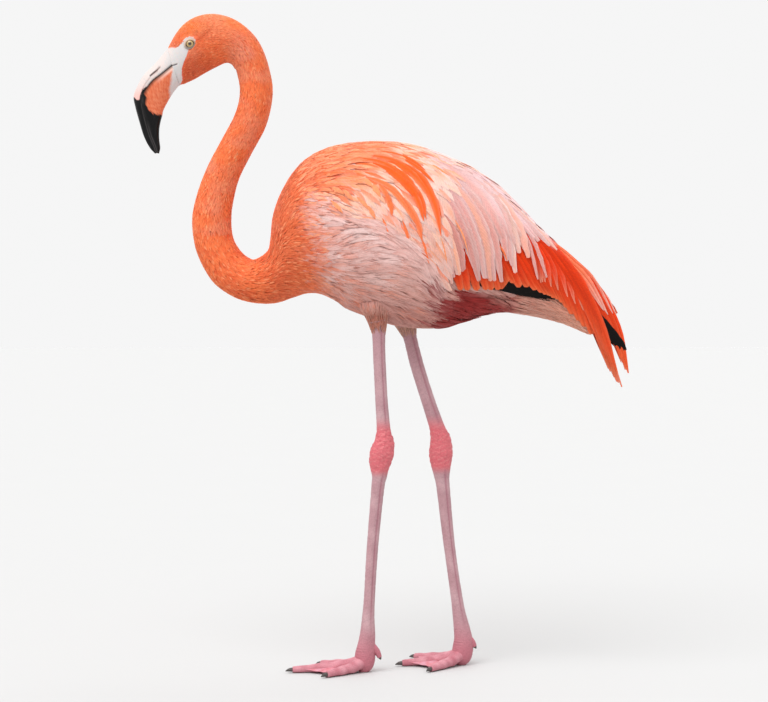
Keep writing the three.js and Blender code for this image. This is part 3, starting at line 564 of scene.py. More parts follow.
class Nodes:
    """A material's node tree, built by short calls."""

    def __init__(self, name):
        self.material = bpy.data.materials.new(name)
        self.material.use_nodes = True
        self.tree = self.material.node_tree
        self.shader = self.tree.nodes["Principled BSDF"]

    def add(self, kind, settings=None, **inputs):
        node = self.tree.nodes.new("ShaderNode" + kind)
        for key, value in (settings or {}).items():
            setattr(node, key, value)
        for key, value in inputs.items():
            self.link(value, node.inputs[int(key[1:]) if key[0] == "_" else key])
        return node.outputs[0]

    def link(self, value, socket):
        if isinstance(value, bpy.types.NodeSocket):
            self.tree.links.new(value, socket)
        else:
            socket.default_value = value

    def math(self, operation, a, b=0.0):
        return self.add("Math", {"operation": operation}, _0=a, _1=b)

    def place(self):
        return self.tree.nodes.new("ShaderNodeTexCoord").outputs["Object"]

    def noise(self, scale, detail=2.0, rough=0.5):
        return self.add("TexNoise", Vector=self.place(), Scale=scale, Detail=detail, Roughness=rough)

    def shade(self, colour, factor, low, high):
        """A colour made darker or lighter as a factor goes from 0 to 1."""
        scale = self.add("MapRange", _0=factor, _1=0.0, _2=1.0, _3=low, _4=high)
        return self.add("VectorMath", {"operation": "SCALE"}, _0=colour, _3=scale)

    def bump(self, height, distance, strength=1.0):
        bumped = self.add("Bump", Height=height, Distance=distance, Strength=strength)
        self.link(bumped, self.shader.inputs["Normal"])

    def set(self, **values):
        """The material, with the shader's inputs set by the short names above."""
        for key, value in values.items():
            self.link(value, self.shader.inputs[SHADER_INPUTS[key]])
        return self.material


def tint_socket(nodes):
    return nodes.add("Attribute", {"attribute_name": "Tint", "attribute_type": "GEOMETRY"})


def feather_material(name, barbs=0.0, roughness=0.7, sheen=0.05):
    """Feathers: their own colour with a fine mottle, and barbs as slanting lines along the vane, with painted
    shade between.
    """
    nodes = Nodes(name)
    mottle = nodes.noise(260.0, 3.0, 0.6)
    colour = nodes.shade(tint_socket(nodes), mottle, 0.84, 1.14)
    height = mottle
    if barbs:
        uv = nodes.tree.nodes.new("ShaderNodeUVMap")
        uv.uv_map = "Barbs"
        split = nodes.tree.nodes.new("ShaderNodeSeparateXYZ")
        nodes.tree.links.new(uv.outputs[0], split.inputs[0])
        slant = nodes.math("SUBTRACT", split.outputs[1], nodes.math("ABSOLUTE", split.outputs[0]))
        bend = nodes.math("MULTIPLY", nodes.noise(90.0), 0.9)
        line = nodes.math("SINE", nodes.math("MULTIPLY", nodes.math("ADD", slant, bend), barbs))
        groove = nodes.math("MULTIPLY", nodes.math("ADD", line, 1.0), 0.5)
        # painted shade: darker in the grooves between barbs, where the bump is low
        colour = nodes.shade(colour, groove, 0.93, 1.05)
        height = nodes.math("ADD", nodes.math("MULTIPLY", groove, 0.7), mottle)
    nodes.bump(height, 0.0006, 0.5)
    nodes.shader.inputs["Subsurface Radius"].default_value = (1, 0.6, 0.5)
    return nodes.set(colour=colour, rough=roughness, specular=0.1, sheen=sheen, sheen_rough=0.5,
                     subsurface=0.2, subsurface_reach=0.004)


def skin_material():
    """Bare skin: fine creases and pores over its own colour."""
    nodes = Nodes("bare_skin")
    pores = nodes.noise(900.0, 4.0, 0.6)
    creases = nodes.add("TexVoronoi", {"feature": "DISTANCE_TO_EDGE"}, Vector=nodes.place(), Scale=420.0)
    colour = nodes.shade(nodes.shade(tint_socket(nodes), pores, 0.9, 1.08), nodes.noise(60.0), 0.95, 1.04)
    nodes.bump(nodes.math("ADD", nodes.math("MULTIPLY", creases, 1.5), pores), 0.0004, 0.5)
    return nodes.set(colour=colour, rough=0.5, specular=0.4, subsurface=0.05)


def leg_material():
    """Scaly skin of legs and feet: a net of small scales between the raised ones, its grooves in painted
    shade.
    """
    nodes = Nodes("leg_scales")
    net = nodes.add("TexVoronoi", {"feature": "DISTANCE_TO_EDGE"}, Vector=nodes.place(), Scale=330.0)
    edge = nodes.add("MapRange", _0=net, _1=0.0, _2=0.12, _3=0.0, _4=1.0)
    # painted shade: darker along the grooves between scales, where the bump is low
    colour = nodes.shade(nodes.shade(tint_socket(nodes), edge, 0.86, 1.04), nodes.noise(140.0, 4.0), 0.9, 1.1)
    nodes.bump(edge, 0.0003, 0.5)
    return nodes.set(colour=colour, rough=0.52, specular=0.4)


def bill_material():
    """Horn: satin where it is pale, glossier where it is black, with a faint grain."""
    nodes = Nodes("bill_horn")
    tint = tint_socket(nodes)
    light = nodes.add("RGBToBW", Color=tint)
    gloss = nodes.add("MapRange", _0=light, _1=0.0, _2=0.2, _3=0.26, _4=0.42)
    grain = nodes.noise(420.0, 3.0, 0.6)
    nodes.bump(grain, 0.0002, 0.35)
    return nodes.set(colour=nodes.shade(tint, grain, 0.93, 1.05), rough=gloss, specular=0.2)


def eye_material():
    nodes = Nodes("eye_wet")
    colour = nodes.shade(tint_socket(nodes), nodes.noise(1400.0), 0.92, 1.06)
    return nodes.set(colour=colour, rough=0.08, specular=0.5, coat=1.0, coat_rough=0.02)


def claw_material():
    nodes = Nodes("claw_horn")
    grain = nodes.noise(700.0, 3.0)
    nodes.bump(grain, 0.0002, 0.4)
    return nodes.set(colour=nodes.shade(tint_socket(nodes), grain, 0.8, 1.15), rough=0.4, specular=0.45)


FEATHER = feather_material("feather_small")
PLUME = feather_material("feather_plume", barbs=9.0, roughness=0.62)
VANE = feather_material("feather_vane", barbs=14.0, roughness=0.5, sheen=0.0)
SKIN = skin_material()
LEG = leg_material()
BILL = bill_material()
EYEBALL = eye_material()
CLAW_HORN = claw_material()

# -------- colours of the coat by place


def coat_tint(points):
    """The coat's colour by place, partly painted light: orange head, neck and breast, pink body, crimson
    vent.
    """
    x, z = points[..., 0], points[..., 2]
    coarse, fine = wobble(points, 60, 1), wobble(points, 13, 2)
    tint = mix(ORANGE, DEEP_ORANGE, np.clip(0.3 + 0.3 * coarse + 0.35 * fine, 0, 1))
    tint = mix(tint, CROWN, 0.55 * ease(z, 1052, 1078) * ease(-x, 215, 270))
    tint = mix(tint, SALMON, 0.5 * np.clip(coarse + 0.35, 0, 1) * (z > 730))
    # red-orange cheek, darker towards the throat: partly the coat's own colour, partly painted shade under
    # the jaw
    cheek = ease(-z, -1040, -1010) * ease(-x, 255, 285) * (z > 960)
    tint = mix(tint, CHEEK_RED_AND_SHADE, 0.75 * cheek)
    # painted shade of a groove: a dark red line behind the eye
    behind_eye = line_distance(BEHIND_EYE_SHADE_LINE, x, z)
    tint = mix(tint, BEHIND_EYE_SHADE, 0.6 * np.exp(-((behind_eye / 3.0) ** 2)) * (x < -270))
    # pinker patches on the nape: partly the coat's own colour, partly painted highlight
    nape = ease(x, -262, -226) * ease(z, 1000, 1030)
    tint = mix(tint, NAPE_PINK_AND_HIGHLIGHT, 0.6 * nape * np.clip(0.7 + 0.8 * coarse, 0, 1))
    breast = ease(x, -215, -165) * (z < 900)
    tint = mix(tint, RUSSET, 0.6 * breast)
    front = -124 + 0.16 * np.maximum(720 - z, 0) - 0.25 * np.maximum(z - 745, 0)
    pink = ease(x + 12 * fine + 9 * coarse, front - 26, front + 26)
    pink = pink * (1 - ease(z + 8 * fine, 780, 804) * ease(-x, 40, 70))
    body = mix(PINK, PALE_PINK, np.clip(0.2 + 0.5 * coarse, 0, 1))
    # darker pink towards the belly: partly the coat's own colour, partly painted shade
    body = mix(body, DUSTY, 0.6 * ease(-z, -700, -640))
    body = mix(body, BELLY_PINK_AND_SHADE, 0.8 * ease(-z, -650, -595))
    speckle = np.clip(0.55 - (x - front) / 110 + 0.6 * fine, 0, 0.75)
    body = mix(body, SPECKLE, speckle)
    tint = mix(tint, body, pink)
    vent = ease(x + 12 * fine, 58, 92) * ease(-z + 9 * coarse - 0.2 * x, -668, -648)
    return mix(tint, CRIMSON, vent * ease(-x + 16 * coarse, -245, -190))


# -------- how feathers grow

# A feather's cross section by its number of points: places across, from edge to edge, and heights.
BLADE = {
    3: ([-1, 0, 1], [0, 1, 0]),
    5: ([-1, -0.5, 0, 0.5, 1], [0, 0.75, 1, 0.75, 0]),
    7: ([-1, -0.68, -0.34, 0, 0.34, 0.68, 1], [0, 0.7, 0.9, 1, 0.9, 0.7, 0]),
}
PATCH = 0.003  # a feather's size on the OFBake map
CM = 10  # the barbs' map is in centimetres


def form(rings, sides, thick, start=0.6, full=0.9, widest=0.55, late=0.75, point=0.1, root=1.5, lift=0.0,
         slant=0.25, camber=0.08, fray=0.2, wave=0.0, fine=0.9):
    """A kind of feather: rings and thickness, how wide and high it is along its length, and its edges."""
    shares = np.linspace(0, 1, rings) ** fine
    outline = np.interp(shares, [0, 0.22, widest, (1 + widest) / 2, 1], [start, full, 1, late, point])
    levels = np.interp(shares, [0, 0.85, 1], [-root, lift, lift])
    across, height = (np.array(v, float) for v in BLADE[sides])
    return SimpleNamespace(shares=shares, outline=outline, levels=levels, across=across, height=height,
                           thick=thick, slant=slant, camber=camber, fray=fray, wave=wave)


def stroll(sheet, rows, turns, heading, length, shares):
    """Walks over a sheet from many roots at once, and gives each place, the normal and the way ahead."""
    rows, turns = rows.copy(), turns.copy()
    places, ups, aheads = [], [], []
    for i, share in enumerate(shares):
        point, up, along, around = sheet.read(rows, turns)
        way = heading(point, up, along, share)
        way = unit(way - up * dot(way, up)[:, None])
        move = way * (length * (shares[min(i + 1, len(shares) - 1)] - share))[:, None]
        aa, ab, bb = dot(along, along), dot(along, around), dot(around, around)
        ma, mb = dot(move, along), dot(move, around)
        spread = np.maximum(aa * bb - ab * ab, 1e-6)
        places.append(point)
        ups.append(up)
        aheads.append(way)
        rows = rows + np.clip((ma * bb - mb * ab) / spread, -6, 6)
        turns = turns + (mb * aa - ma * ab) / spread / sheet.sides
    return tuple(np.stack(v, 1) for v in (places, ups, aheads))


def lay(heap, path, up, ahead, place, length, width, kind, paint, dice, level=0.0, roll=0.0):
    """Adds one feather for each path to a heap. paint(path, share, across) gives the colours."""
    count, rings = path.shape[:2]
    edge = np.abs(kind.across)
    side = unit(np.cross(up, ahead))
    half = width[:, None] / 2 * kind.outline
    torn = 1 - kind.fray * edge * dice.random((count, rings, len(edge)))
    reach = half[..., None] * kind.across * torn
    bends = np.sin(kind.shares * 7 + dice.uniform(0, 6.3, (count, 1))) * kind.shares
    drift = kind.wave * width[:, None] * bends
    lifted = np.asarray(level, float).reshape(-1, 1) + kind.levels
    height = lifted[..., None] + kind.thick * kind.height + kind.camber * half[..., None] * (1 - edge**2)
    height = height + np.asarray(roll, float).reshape(-1, 1, 1) * reach
    ahead_by = -kind.slant * edge * half[..., None] * (kind.shares > 0.05)[:, None]
    points = path[:, :, None] + side[:, :, None] * (reach + drift[..., None])[..., None]
    points = points + up[:, :, None] * height[..., None] + ahead[:, :, None] * ahead_by[..., None]
    share = kind.shares[:, None] + 0 * kind.across
    across = kind.across + 0 * kind.shares[:, None]
    patch = PATCH * np.stack([share - 0.5, across / 2], -1)
    barbs = np.stack([across * width[:, None, None] / CM, share * length[:, None, None] / CM], -1)
    barbs = barbs + dice.uniform(0, 9, (count, 1, 1, 1)) * np.array([0, 1])
    faces = loft_faces(count, rings, len(edge))
    heap.add(points, faces, paint(path, share, across), place[:, None, None] + patch, barbs)


def grow(heap, sheet, rows, turns, heading, length, width, kind, paint, dice, level=0.0, roll=0.0):
    """Adds a feather at each root, along the way that a heading gives."""
    path, up, ahead = stroll(sheet, rows, turns, heading, length, kind.shares)
    lay(heap, path, up, ahead, sheet.unwrap(rows, turns), length, width, kind, paint, dice, level, roll)


def along_path(path, up):
    """The way ahead along each path, square to the normals, and the path's length."""
    ahead = np.gradient(path, axis=1)
    ahead = unit(ahead - up * dot(ahead, up)[..., None])
    return ahead, np.linalg.norm(np.diff(path, axis=1), axis=2).sum(1)


def trail(heap, sheet, rows, turns, width, kind, paint, dice, level=0.0):
    """Adds feathers that follow given lines of row numbers and turns over a sheet."""
    path, up = (v.reshape(*rows.shape, 3) for v in sheet.read(rows.ravel(), turns.ravel())[:2])
    ahead, length = along_path(path, up)
    place = sheet.unwrap(rows[:, 0], turns[:, 0])
    lay(heap, path, up, ahead, place, length, width, kind, paint, dice, level)


BODY_TABLE = np.array(BODY_STATIONS, float)
BACK, BELLY, HALF = 1, 2, 3


def body_at(x, column):
    """The level of the body's back or belly, or its half width, at x."""
    return np.interp(x, BODY_TABLE[:, 0], BODY_TABLE[:, column])


def body_place(x, z):
    """Row number and angle from the back, in turns, of side-view places on the body's sheet."""
    back, belly = body_at(x, BACK), body_at(x, BELLY)
    station = np.interp(x, BODY_TABLE[:, 0], BODY_START - 1 + np.arange(len(BODY_TABLE)))
    up = np.clip((z - (back + belly) / 2) / ((back - belly) / 2), -1, 1)
    return station_row(station), np.arccos(up) / (2 * math.pi)


def side_trail(heap, side, lines, width, kind, paint, dice, level=0.0, roll=0.0):
    """Adds feathers along side-view lines [x, z] on one side of the body's outline."""
    x, z = lines[..., 0], lines[..., 1]
    back, belly, half = (body_at(x, column) for column in (BACK, BELLY, HALF))
    middle, reach = (back + belly) / 2, (back - belly) / 2
    up = np.clip((z - middle) / reach, -0.985, 0.985)
    out = np.sqrt(1 - up**2)
    path = np.stack([x, side * half * out, np.minimum(z, middle + 0.985 * reach)], -1)
    normal = unit(np.stack([0 * x, side * out / half, up / reach], -1))
    ahead, length = along_path(path, normal)
    rows, turns = body_place(x[:, 0], z[:, 0])
    place = spine.unwrap(rows, turns if side == RIGHT else 1 - turns)
    lay(heap, path, normal, ahead, place, length, width, kind, paint, dice, level, roll)


def fan(lines, count, shares, dice, stray=1.5):
    """Feather lines between a few given ones: lines of [x, z], each read at the shares of its length."""
    steps = shares * (len(lines[0]) - 1)
    table = np.array([through(line, steps).ravel() for line in lines])
    spread = through(table, np.linspace(0, len(lines) - 1, count)).reshape(count, -1, 2)
    return spread + dice.normal(0, stray, (count, 1, 2)) * shares[:, None]


def tilted(turn):
    """A heading along the sheet's own length, turned for each feather by a small angle."""

    def heading(_point, up, along, _share):
        ahead = unit(along)
        return ahead + np.cross(up, ahead) * np.tan(turn)[:, None]

    return heading


def staggered(sheet, first, last, gap_along, gap_around, dice, keep=None, size=lambda row: 1):
    """Roots in staggered rows from one row number to another, thinned where the rings crowd."""
    found_rows, found_turns = [], []
    row, odd = first, 0
    while row < last:
        i = min(int(row), sheet.rows - 1)
        lengths = np.linalg.norm(sheet.along[i], axis=1)
        girth = np.linalg.norm(sheet.around[i], axis=1).sum()
        count = max(int(girth / (gap_around * size(row))), 6)
        turns = (np.arange(count) + 0.5 * odd + dice.uniform(-0.3, 0.3, count)) / count % 1
        gap = gap_along * size(row)
        rows = row + dice.uniform(-0.3, 0.3, count) * gap / lengths.max()
        local = lengths[(turns * sheet.sides).astype(int) % sheet.sides]
        kept = (dice.random(count) < local / lengths.max()) & (local > 0.16 * lengths.max())
        found_rows.append(rows[kept])
        found_turns.append(turns[kept])
        row += gap / lengths.max()
        odd = 1 - odd
    rows, turns = np.concatenate(found_rows), np.concatenate(found_turns)
    if keep is None:
        return rows, turns
    kept = keep(sheet.read(rows, turns)[0])
    return rows[kept], turns[kept]


def side_roots(first, last, gap_along, gap_around, dice, keep):
    """Roots on the spine between two stations."""
    return staggered(spine, station_row(first), station_row(last), gap_along, gap_around, dice, keep)


# Which way the body's feathers lie in side view: x, z, degrees below level, towards the tail.
LIE = np.array([
    [-159, 753, -62], [-145, 802, -48], [-115, 829, -35], [-63, 855, -14], [-13, 866, -2], [46, 862, 10],
    [105, 845, 22], [139, 829, 30], [196, 800, 38], [262, 732, 46], [311, 692, 42], [350, 650, 50],
    [383, 595, 64], [393, 484, 76], [-130, 798, -30], [-110, 812, -22], [-77, 815, -10], [-27, 829, 4],
    [-115, 785, 8], [-85, 790, 22], [-55, 788, 38], [-20, 785, 48], [10, 770, 54], [35, 750, 62],
    [17, 836, 18], [50, 820, 36], [80, 790, 54], [99, 760, 66], [113, 717, 74], [120, 678, 74],
    [60, 845, 22], [100, 820, 42], [130, 770, 60], [164, 661, 68], [196, 702, 66], [229, 735, 56],
    [164, 790, 46], [200, 750, 58], [270, 678, 58], [-109, 745, 10], [-80, 742, 0], [-50, 735, -8],
    [-10, 730, 2], [25, 714, 22], [52, 695, 40], [75, 670, 56], [92, 648, 60], [-98, 715, -12],
    [-65, 712, -20], [-25, 705, -16], [15, 692, -2], [45, 672, 16], [75, 645, 36], [-86, 688, -6],
    [-42, 680, -12], [2, 668, -4], [46, 645, 14], [85, 625, 28], [-86, 662, 26], [-57, 652, 14],
    [-20, 645, 10], [30, 625, 16], [60, 605, 24], [-60, 630, 34], [-25, 612, 34], [10, 597, 30],
    [-115, 650, 8], [-174, 640, 0], [114, 610, 14], [164, 618, 6],
])


def lie_angle(point):
    """The lie of the body's feathers at side-view places, in radians below level."""
    away = np.hypot(point[:, None, 0] - LIE[:, 0], point[:, None, 2] - LIE[:, 1])
    weight = 1 / (away + 6) ** 3
    angle = np.radians(LIE[:, 2])
    return np.arctan2((weight * np.sin(angle)).sum(1), (weight * np.cos(angle)).sum(1))


def lying(turn, curl=0.0):
    """A heading by the lie of the coat, turned for each feather and curling downwards on the way."""

    def heading(point, up, along, share):
        angle = lie_angle(point) + turn + curl * share
        x, z = np.cos(angle), -np.sin(angle)
        out = np.where(np.abs(up[:, 1]) < 0.35, np.copysign(0.35, up[:, 1]), up[:, 1])
        y = np.clip(-(x * up[:, 0] + z * up[:, 2]) / out, -1.2, 1.2) * ease(np.abs(up[:, 1]), 0.02, 0.4)
        body = ease(point[:, 0], -195, -140) * (point[:, 2] < 900)
        return mix(unit(along), unit(np.stack([x, y, z], -1)), body)

    return heading


# -------- skin


def face_relief(points, up):
    """Moves the head's skin: sockets for the eyes, the groove of the mouth's corner and two folds."""
    x, z = points[..., 0], points[..., 2]
    away = np.hypot(x - EYE.x, z - EYE.z)
    lower = -SOCKET.deep * (1 - ease(away, SOCKET.inner, SOCKET.outer))
    lower -= GAPE.deep * (1 - ease(line_distance(GAPE.line, x, z), 0.3, GAPE.wide))
    for crease in (CHIN_FOLD, BROW_FOLD):
        lower += crease.high * np.exp(-((line_distance(crease.line, x, z) / crease.wide) ** 2))
    return points + up * (lower * (x < -295))[..., None]


def skin_tint(points):
    """The coat's colour under the feathers, and bone white skin, pink towards the bill, on the face."""
    x, z = points[..., 0], points[..., 2]
    fine = wobble(points, 9, 5)
    face = mix(BONE, SKIN_PINK, np.clip(ease(-x, 340, 362) * 0.8 + 0.12 * fine, 0, 1))
    away = np.hypot(x - EYE.x, z - EYE.z)
    face = mix(face, EYE_RING, 0.5 * np.exp(-(((away - 9) / 3) ** 2)))
    # painted shade in the groove at the mouth's corner
    face = mix(face, GAPE_SHADE, 1 - ease(line_distance(GAPE.line, x, z), 0.4, 1.2))
    coat = coat_tint(points) * 0.95
    return np.where(bare(points)[..., None], face, coat)


def skin_rings():
    """The spine's rings sunk by the coat's depth to the rump, and on into the tail's core."""
    last = int(station_row(RUMP))
    points, up = spine.points[: last + 1], spine.up[: last + 1]
    x, z = points[..., :1], points[..., 2:]
    start = np.interp(x, [110, 160], [-12, -20])
    flight = ease(x, 92, 112) * ease(z - read_line(WING_EDGE, x), start, start + 10)
    depth = read_line(COAT_DEPTH, STATION[: last + 1])[:, None, None] + WING_DEPTH * flight
    depth = np.where(bare(points)[..., None], np.minimum(depth, 0.5), depth)
    body = face_relief(points - up * depth, up)
    tail = through(TAIL_SKIN, np.linspace(0, len(TAIL_SKIN) - 1, 26))
    return np.concatenate([body, upright_rings(tail, SPINE_SIDES)])


def lid_rings(side, sections=72):
    """The lids: a ring of skin whose inner edge follows the eyeball round the opening."""
    cheek = side * cheek_half()
    turn = round_turn(sections)
    tilt = math.radians(LIDS.tilt)
    rings = []
    for distance, height in LID_SECTION:
        long = LIDS.long + distance
        tall = LIDS.tall + distance
        across, rise = long * np.cos(turn), tall * np.sin(turn)
        x = EYE.x + across * math.cos(tilt) - rise * math.sin(tilt)
        z = EYE.z + across * math.sin(tilt) + rise * math.cos(tilt)
        wrinkle = 0.12 * np.sin(turn * 17) * (distance > 0)
        rings.append(np.stack([x, cheek + side * (height + wrinkle) + 0 * x, z], -1))
    return np.stack(rings, 1)


def lid_tint(lids):
    """Peach lids over the eye and grey ones below it, with a dark rim, painted shade in the creases and an
    outer edge.
    """
    x, z = lids[..., 0] - EYE.x, lids[..., 2] - EYE.z
    high = ease(z - 0.5 * x, -5, 4)
    tint = mix(LOWER_LID, UPPER_LID, high)
    # the lids' own dark rim, with painted shade inside the opening and in the crease between the rolls
    rim_and_crease_shade = np.array([0.95, 0.95, 0.15, 0.6, 0.0, 0.15, 0.5, 0.6])  # by the points of the lids' section
    tint = mix(tint, LID_RIM_AND_CREASE_SHADE, rim_and_crease_shade + 0 * high)
    outer = np.array([0, 0, 0, 0, 0, 0.35, 0.9, 0.9])
    return mix(tint, mix(LID_EDGE, BONE, ease(0.3 * z - x, -6, 5)), outer + 0 * high)


def torus_faces(rings, sides, flip):
    """Faces of a closed ring of sections."""
    r, s = np.meshgrid(np.arange(rings), np.arange(sides), indexing="ij")
    here, beside = r * sides + s, r * sides + (s + 1) % sides
    there, opposite = (r + 1) % rings * sides + s, (r + 1) % rings * sides + (s + 1) % sides
    order = [here, beside, opposite, there] if flip else [here, there, opposite, beside]
    return [np.stack(order, -1).reshape(-1, 4)]


def make_skin():
    heap = Heap()
    points = skin_rings()
    heap.loft(points, skin_tint(points))
    for side, _ in SIDES:
        lids = lid_rings(side)
        heap.add(lids, torus_faces(*lids.shape[:2], side == RIGHT), lid_tint(lids))
    for leg in LEGS.values():
        table = np.array(leg[: THIGH_END + 1], float)
        table[:, 3] -= THIGH_COAT
        thigh = leg_rings(table, np.linspace(0, THIGH_END, 20), 40)
        heap.loft(thigh, coat_tint(thigh) * 0.95)
    solids = ["head", "neck_upper", "neck_middle", "neck_lower", "torso", "thigh_left", "thigh_right"]
    heap.piece("skin", SKIN, solids, sharp=180)


# -------- bill and eyes


def mandible(upper, rings=150, steps=28):
    """One mandible as rings: an arch from the mouth line over its ridge, closed by the flat of the mouth."""
    at = np.linspace(0, len(BILL_STATIONS) - 1, rings)
    cx, cz, mx, mz, gx, gz, half = through(BILL_STATIONS, at).T
    rx, rz = (cx - mx, cz - mz) if upper else (gx - mx, gz - mz)
    height = np.hypot(rx, rz)
    lift = (MOUTH_GAP / 2 / height)[:, None]
    narrow = 1 + (UPPER_NARROW - 1) * np.minimum(at / 4, 1)
    width = half * narrow if upper else half
    turn = np.linspace(-math.pi / 2, math.pi / 2, steps + 1)
    out = lift + (1 - lift) * np.cos(turn) ** (1 if upper else 0.85)
    lip = 1 - 0.05 * np.exp(-((np.abs(turn) - math.pi / 2) / 0.12) ** 2)
    x = mx[:, None] + rx[:, None] * out
    z = mz[:, None] + rz[:, None] * out
    y = width[:, None] * np.sin(turn) * lip
    arch = np.stack([x, y, z], -1)
    inner = arch[:, -1:-2:-1] * 0.5 + arch[:, :1] * 0.5
    return np.concatenate([arch, inner], 1)


def nostril_relief(points):
    """The slit of the nostril and the fine groove below it, pressed into the upper mandible's sides."""
    x, z = points[..., 0], points[..., 2]
    deep = 0
    for cut in (NOSTRIL, BILL_GROOVE):
        deep += cut.deep * (1 - ease(line_distance(cut.line, x, z), 0.2, cut.wide))
    moved = points.copy()
    moved[..., 1] -= np.sign(points[..., 1]) * deep * (np.abs(points[..., 1]) > 5)
    return moved


def bill_tint(points, upper):
    """White to pink above and orange below, black towards the tip and dark along the mouth line, partly as
    painted shade.
    """
    x, z = points[..., 0], points[..., 2]
    fine, streak = wobble(points, 3.2, 8), wobble(points * np.array([1, 2.5, 1]), 9, 9)
    tomium = line_distance(np.array(BILL_STATIONS)[:, 2:4], x, z)
    if upper:
        pink = np.clip(0.5 + 0.3 * streak, 0, 1) * ease(-x + 2 * fine, 350, 366)
        tint = mix(mix(BONE, SKIN_PINK, pink), BILL_PINK, ease(-z, -985, -962))
        # painted shade along the fine groove below the nostril
        groove = line_distance(BILL_GROOVE.line[:3], x, z)
        tint = mix(tint, BILL_GROOVE_SHADE, 0.5 * (1 - ease(groove, 0.3, 0.9)))
        # painted shade in the nostril's slit
        tint = mix(tint, NOSTRIL_SHADE, 1 - ease(line_distance(NOSTRIL.line, x, z), 0.7, 1.5))
        dark = 1 - ease(z - read_line(UPPER_BLACK, x) + 1.3 * fine, -0.8, 0.8)
        wide, soft = np.interp(z, [970, 1000], [1.8, 0.6]), np.interp(z, [970, 1000], [0.7, 0.5])
    else:
        tint = mix(BILL_ORANGE, BILL_LIGHT, np.clip(0.4 + 0.5 * streak, 0, 1))
        tint = mix(tint, BILL_RED, np.clip(fine * 0.7 - 0.15, 0, 0.55))
        wedge = x - read_line(np.array(FACE_WEDGE)[::-1, ::-1], z)
        tint = mix(tint, BONE, ease(wedge + 1.2 * fine, -2.5, 2.5))
        tint = mix(tint, BILL_EDGE, 0.95 * (1 - ease(tomium, 4.6, 6.4)) * ease(z, 976, 986))
        dark = 1 - ease(z - read_line(LOWER_BLACK, x) + 1.6 * fine, -0.8, 0.8)
        wide, soft = np.interp(z, [965, 990, 1008], [5.6, 3.2, 1.5]), 0.7
    dark = np.maximum(dark, 1 - ease(tomium, wide, wide + soft))
    # painted shade along the mouth line near the bill's root
    tint = mix(tint, MOUTH_SHADE, (1 - ease(tomium, 0.5, 1.1)) * ease(-x, 344, 350))
    grey = np.clip(0.5 * wobble(points * np.array([1, 1, 0.25]), 7, 11), 0, 0.25)
    black = mix(HORN_BLACK, HORN_GREY, grey)
    # painted highlight: a pale line along the mouth line on the black horn
    black = mix(black, HORN_SHINE, 0.8 * np.exp(-(((tomium - 1.4) / 0.9) ** 2)) * ease(-z, -975, -960))
    return mix(tint, black, dark)


def make_bill():
    for upper, name in ((True, "bill_upper"), (False, "bill_lower")):
        heap = Heap()
        points = mandible(upper)
        tints = bill_tint(points, upper)
        heap.loft(nostril_relief(points) if upper else points, tints, flip=upper)
        heap.piece(name, BILL, [name], sharp=50)


def make_eyes():
    """Eyeballs whose pole looks sideways: pupil, pale iris and a dark rim, partly painted lid shadow, as
    rings of colour.
    """
    angles = np.radians(np.concatenate([np.linspace(1, 50, 40), np.linspace(54, 179, 26)]))
    turn = round_turn(48)
    for side, label in SIDES:
        radius = EYE.radius * (1 + 0.03 * (1 - ease(angles, 0.5, 0.8)))
        out = (radius * np.sin(angles))[:, None]
        x, z = out * np.cos(turn), out * np.sin(turn)
        y = side * (radius * np.cos(angles))[:, None] + 0 * x
        points = np.stack([x, y, z], -1) + eye_centre(side)
        away = EYE.radius * np.sin(angles) + np.where(angles > 1.5, 20, 0)
        iris = mix(INNER_IRIS, OUTER_IRIS, ease(away, EYE.pupil, EYE.iris * 0.75))
        tint = mix(PUPIL, iris, ease(away, EYE.pupil - 0.3, EYE.pupil + 0.3))
        # a dark ring round the iris: partly the eye's own rim, partly painted shadow of the lids
        tint = mix(tint, IRIS_RIM_AND_LID_SHADOW, ease(away, EYE.iris - 0.5, EYE.iris + 0.3))
        heap = Heap()
        heap.loft(points, tint[:, None], flip=side == LEFT)
        heap.piece("eye_" + label, EYEBALL, ["eye_" + label], sharp=180)


# -------- legs and feet


def leg_rings(table, at, sides):
    """Rings across a line of stations [x, y, z, radius], each from the front and round by the side."""
    rows = through(table, at)
    centre, radius = rows[:, :3], rows[:, 3]
    along = unit(np.gradient(centre, axis=0))
    front = unit(np.array([-1.0, 0, 0]) + along * along[:, :1])
    aside = np.cross(front, along)
    turn = round_turn(sides)
    out = front[:, None] * np.cos(turn)[:, None] + aside[:, None] * np.sin(turn)[:, None] * LEG_SIDE
    return centre[:, None] + out * radius[:, None, None]


def zigzag(x):
    """1 at whole numbers and 0 halfway between them."""
    return np.abs((x % 1) - 0.5) * 2


def scale_relief(distance, turn):
    """Raised scales round a leg: wide plates across its front, and small ones in rows round its sides."""
    plate = zigzag(distance / SCALES.plate + 0.1 * np.sin(turn * 2))
    row = distance / SCALES.row
    small = np.maximum(zigzag(turn * SCALES.per_radian + 0.5 * (np.floor(row) % 2)), zigzag(row))
    front = ease(np.cos(turn), 0.35, 0.75)
    edge = front * ease(plate, 0.75, 1) + (1 - front) * ease(small, 0.7, 1)
    return -SCALES.high * edge


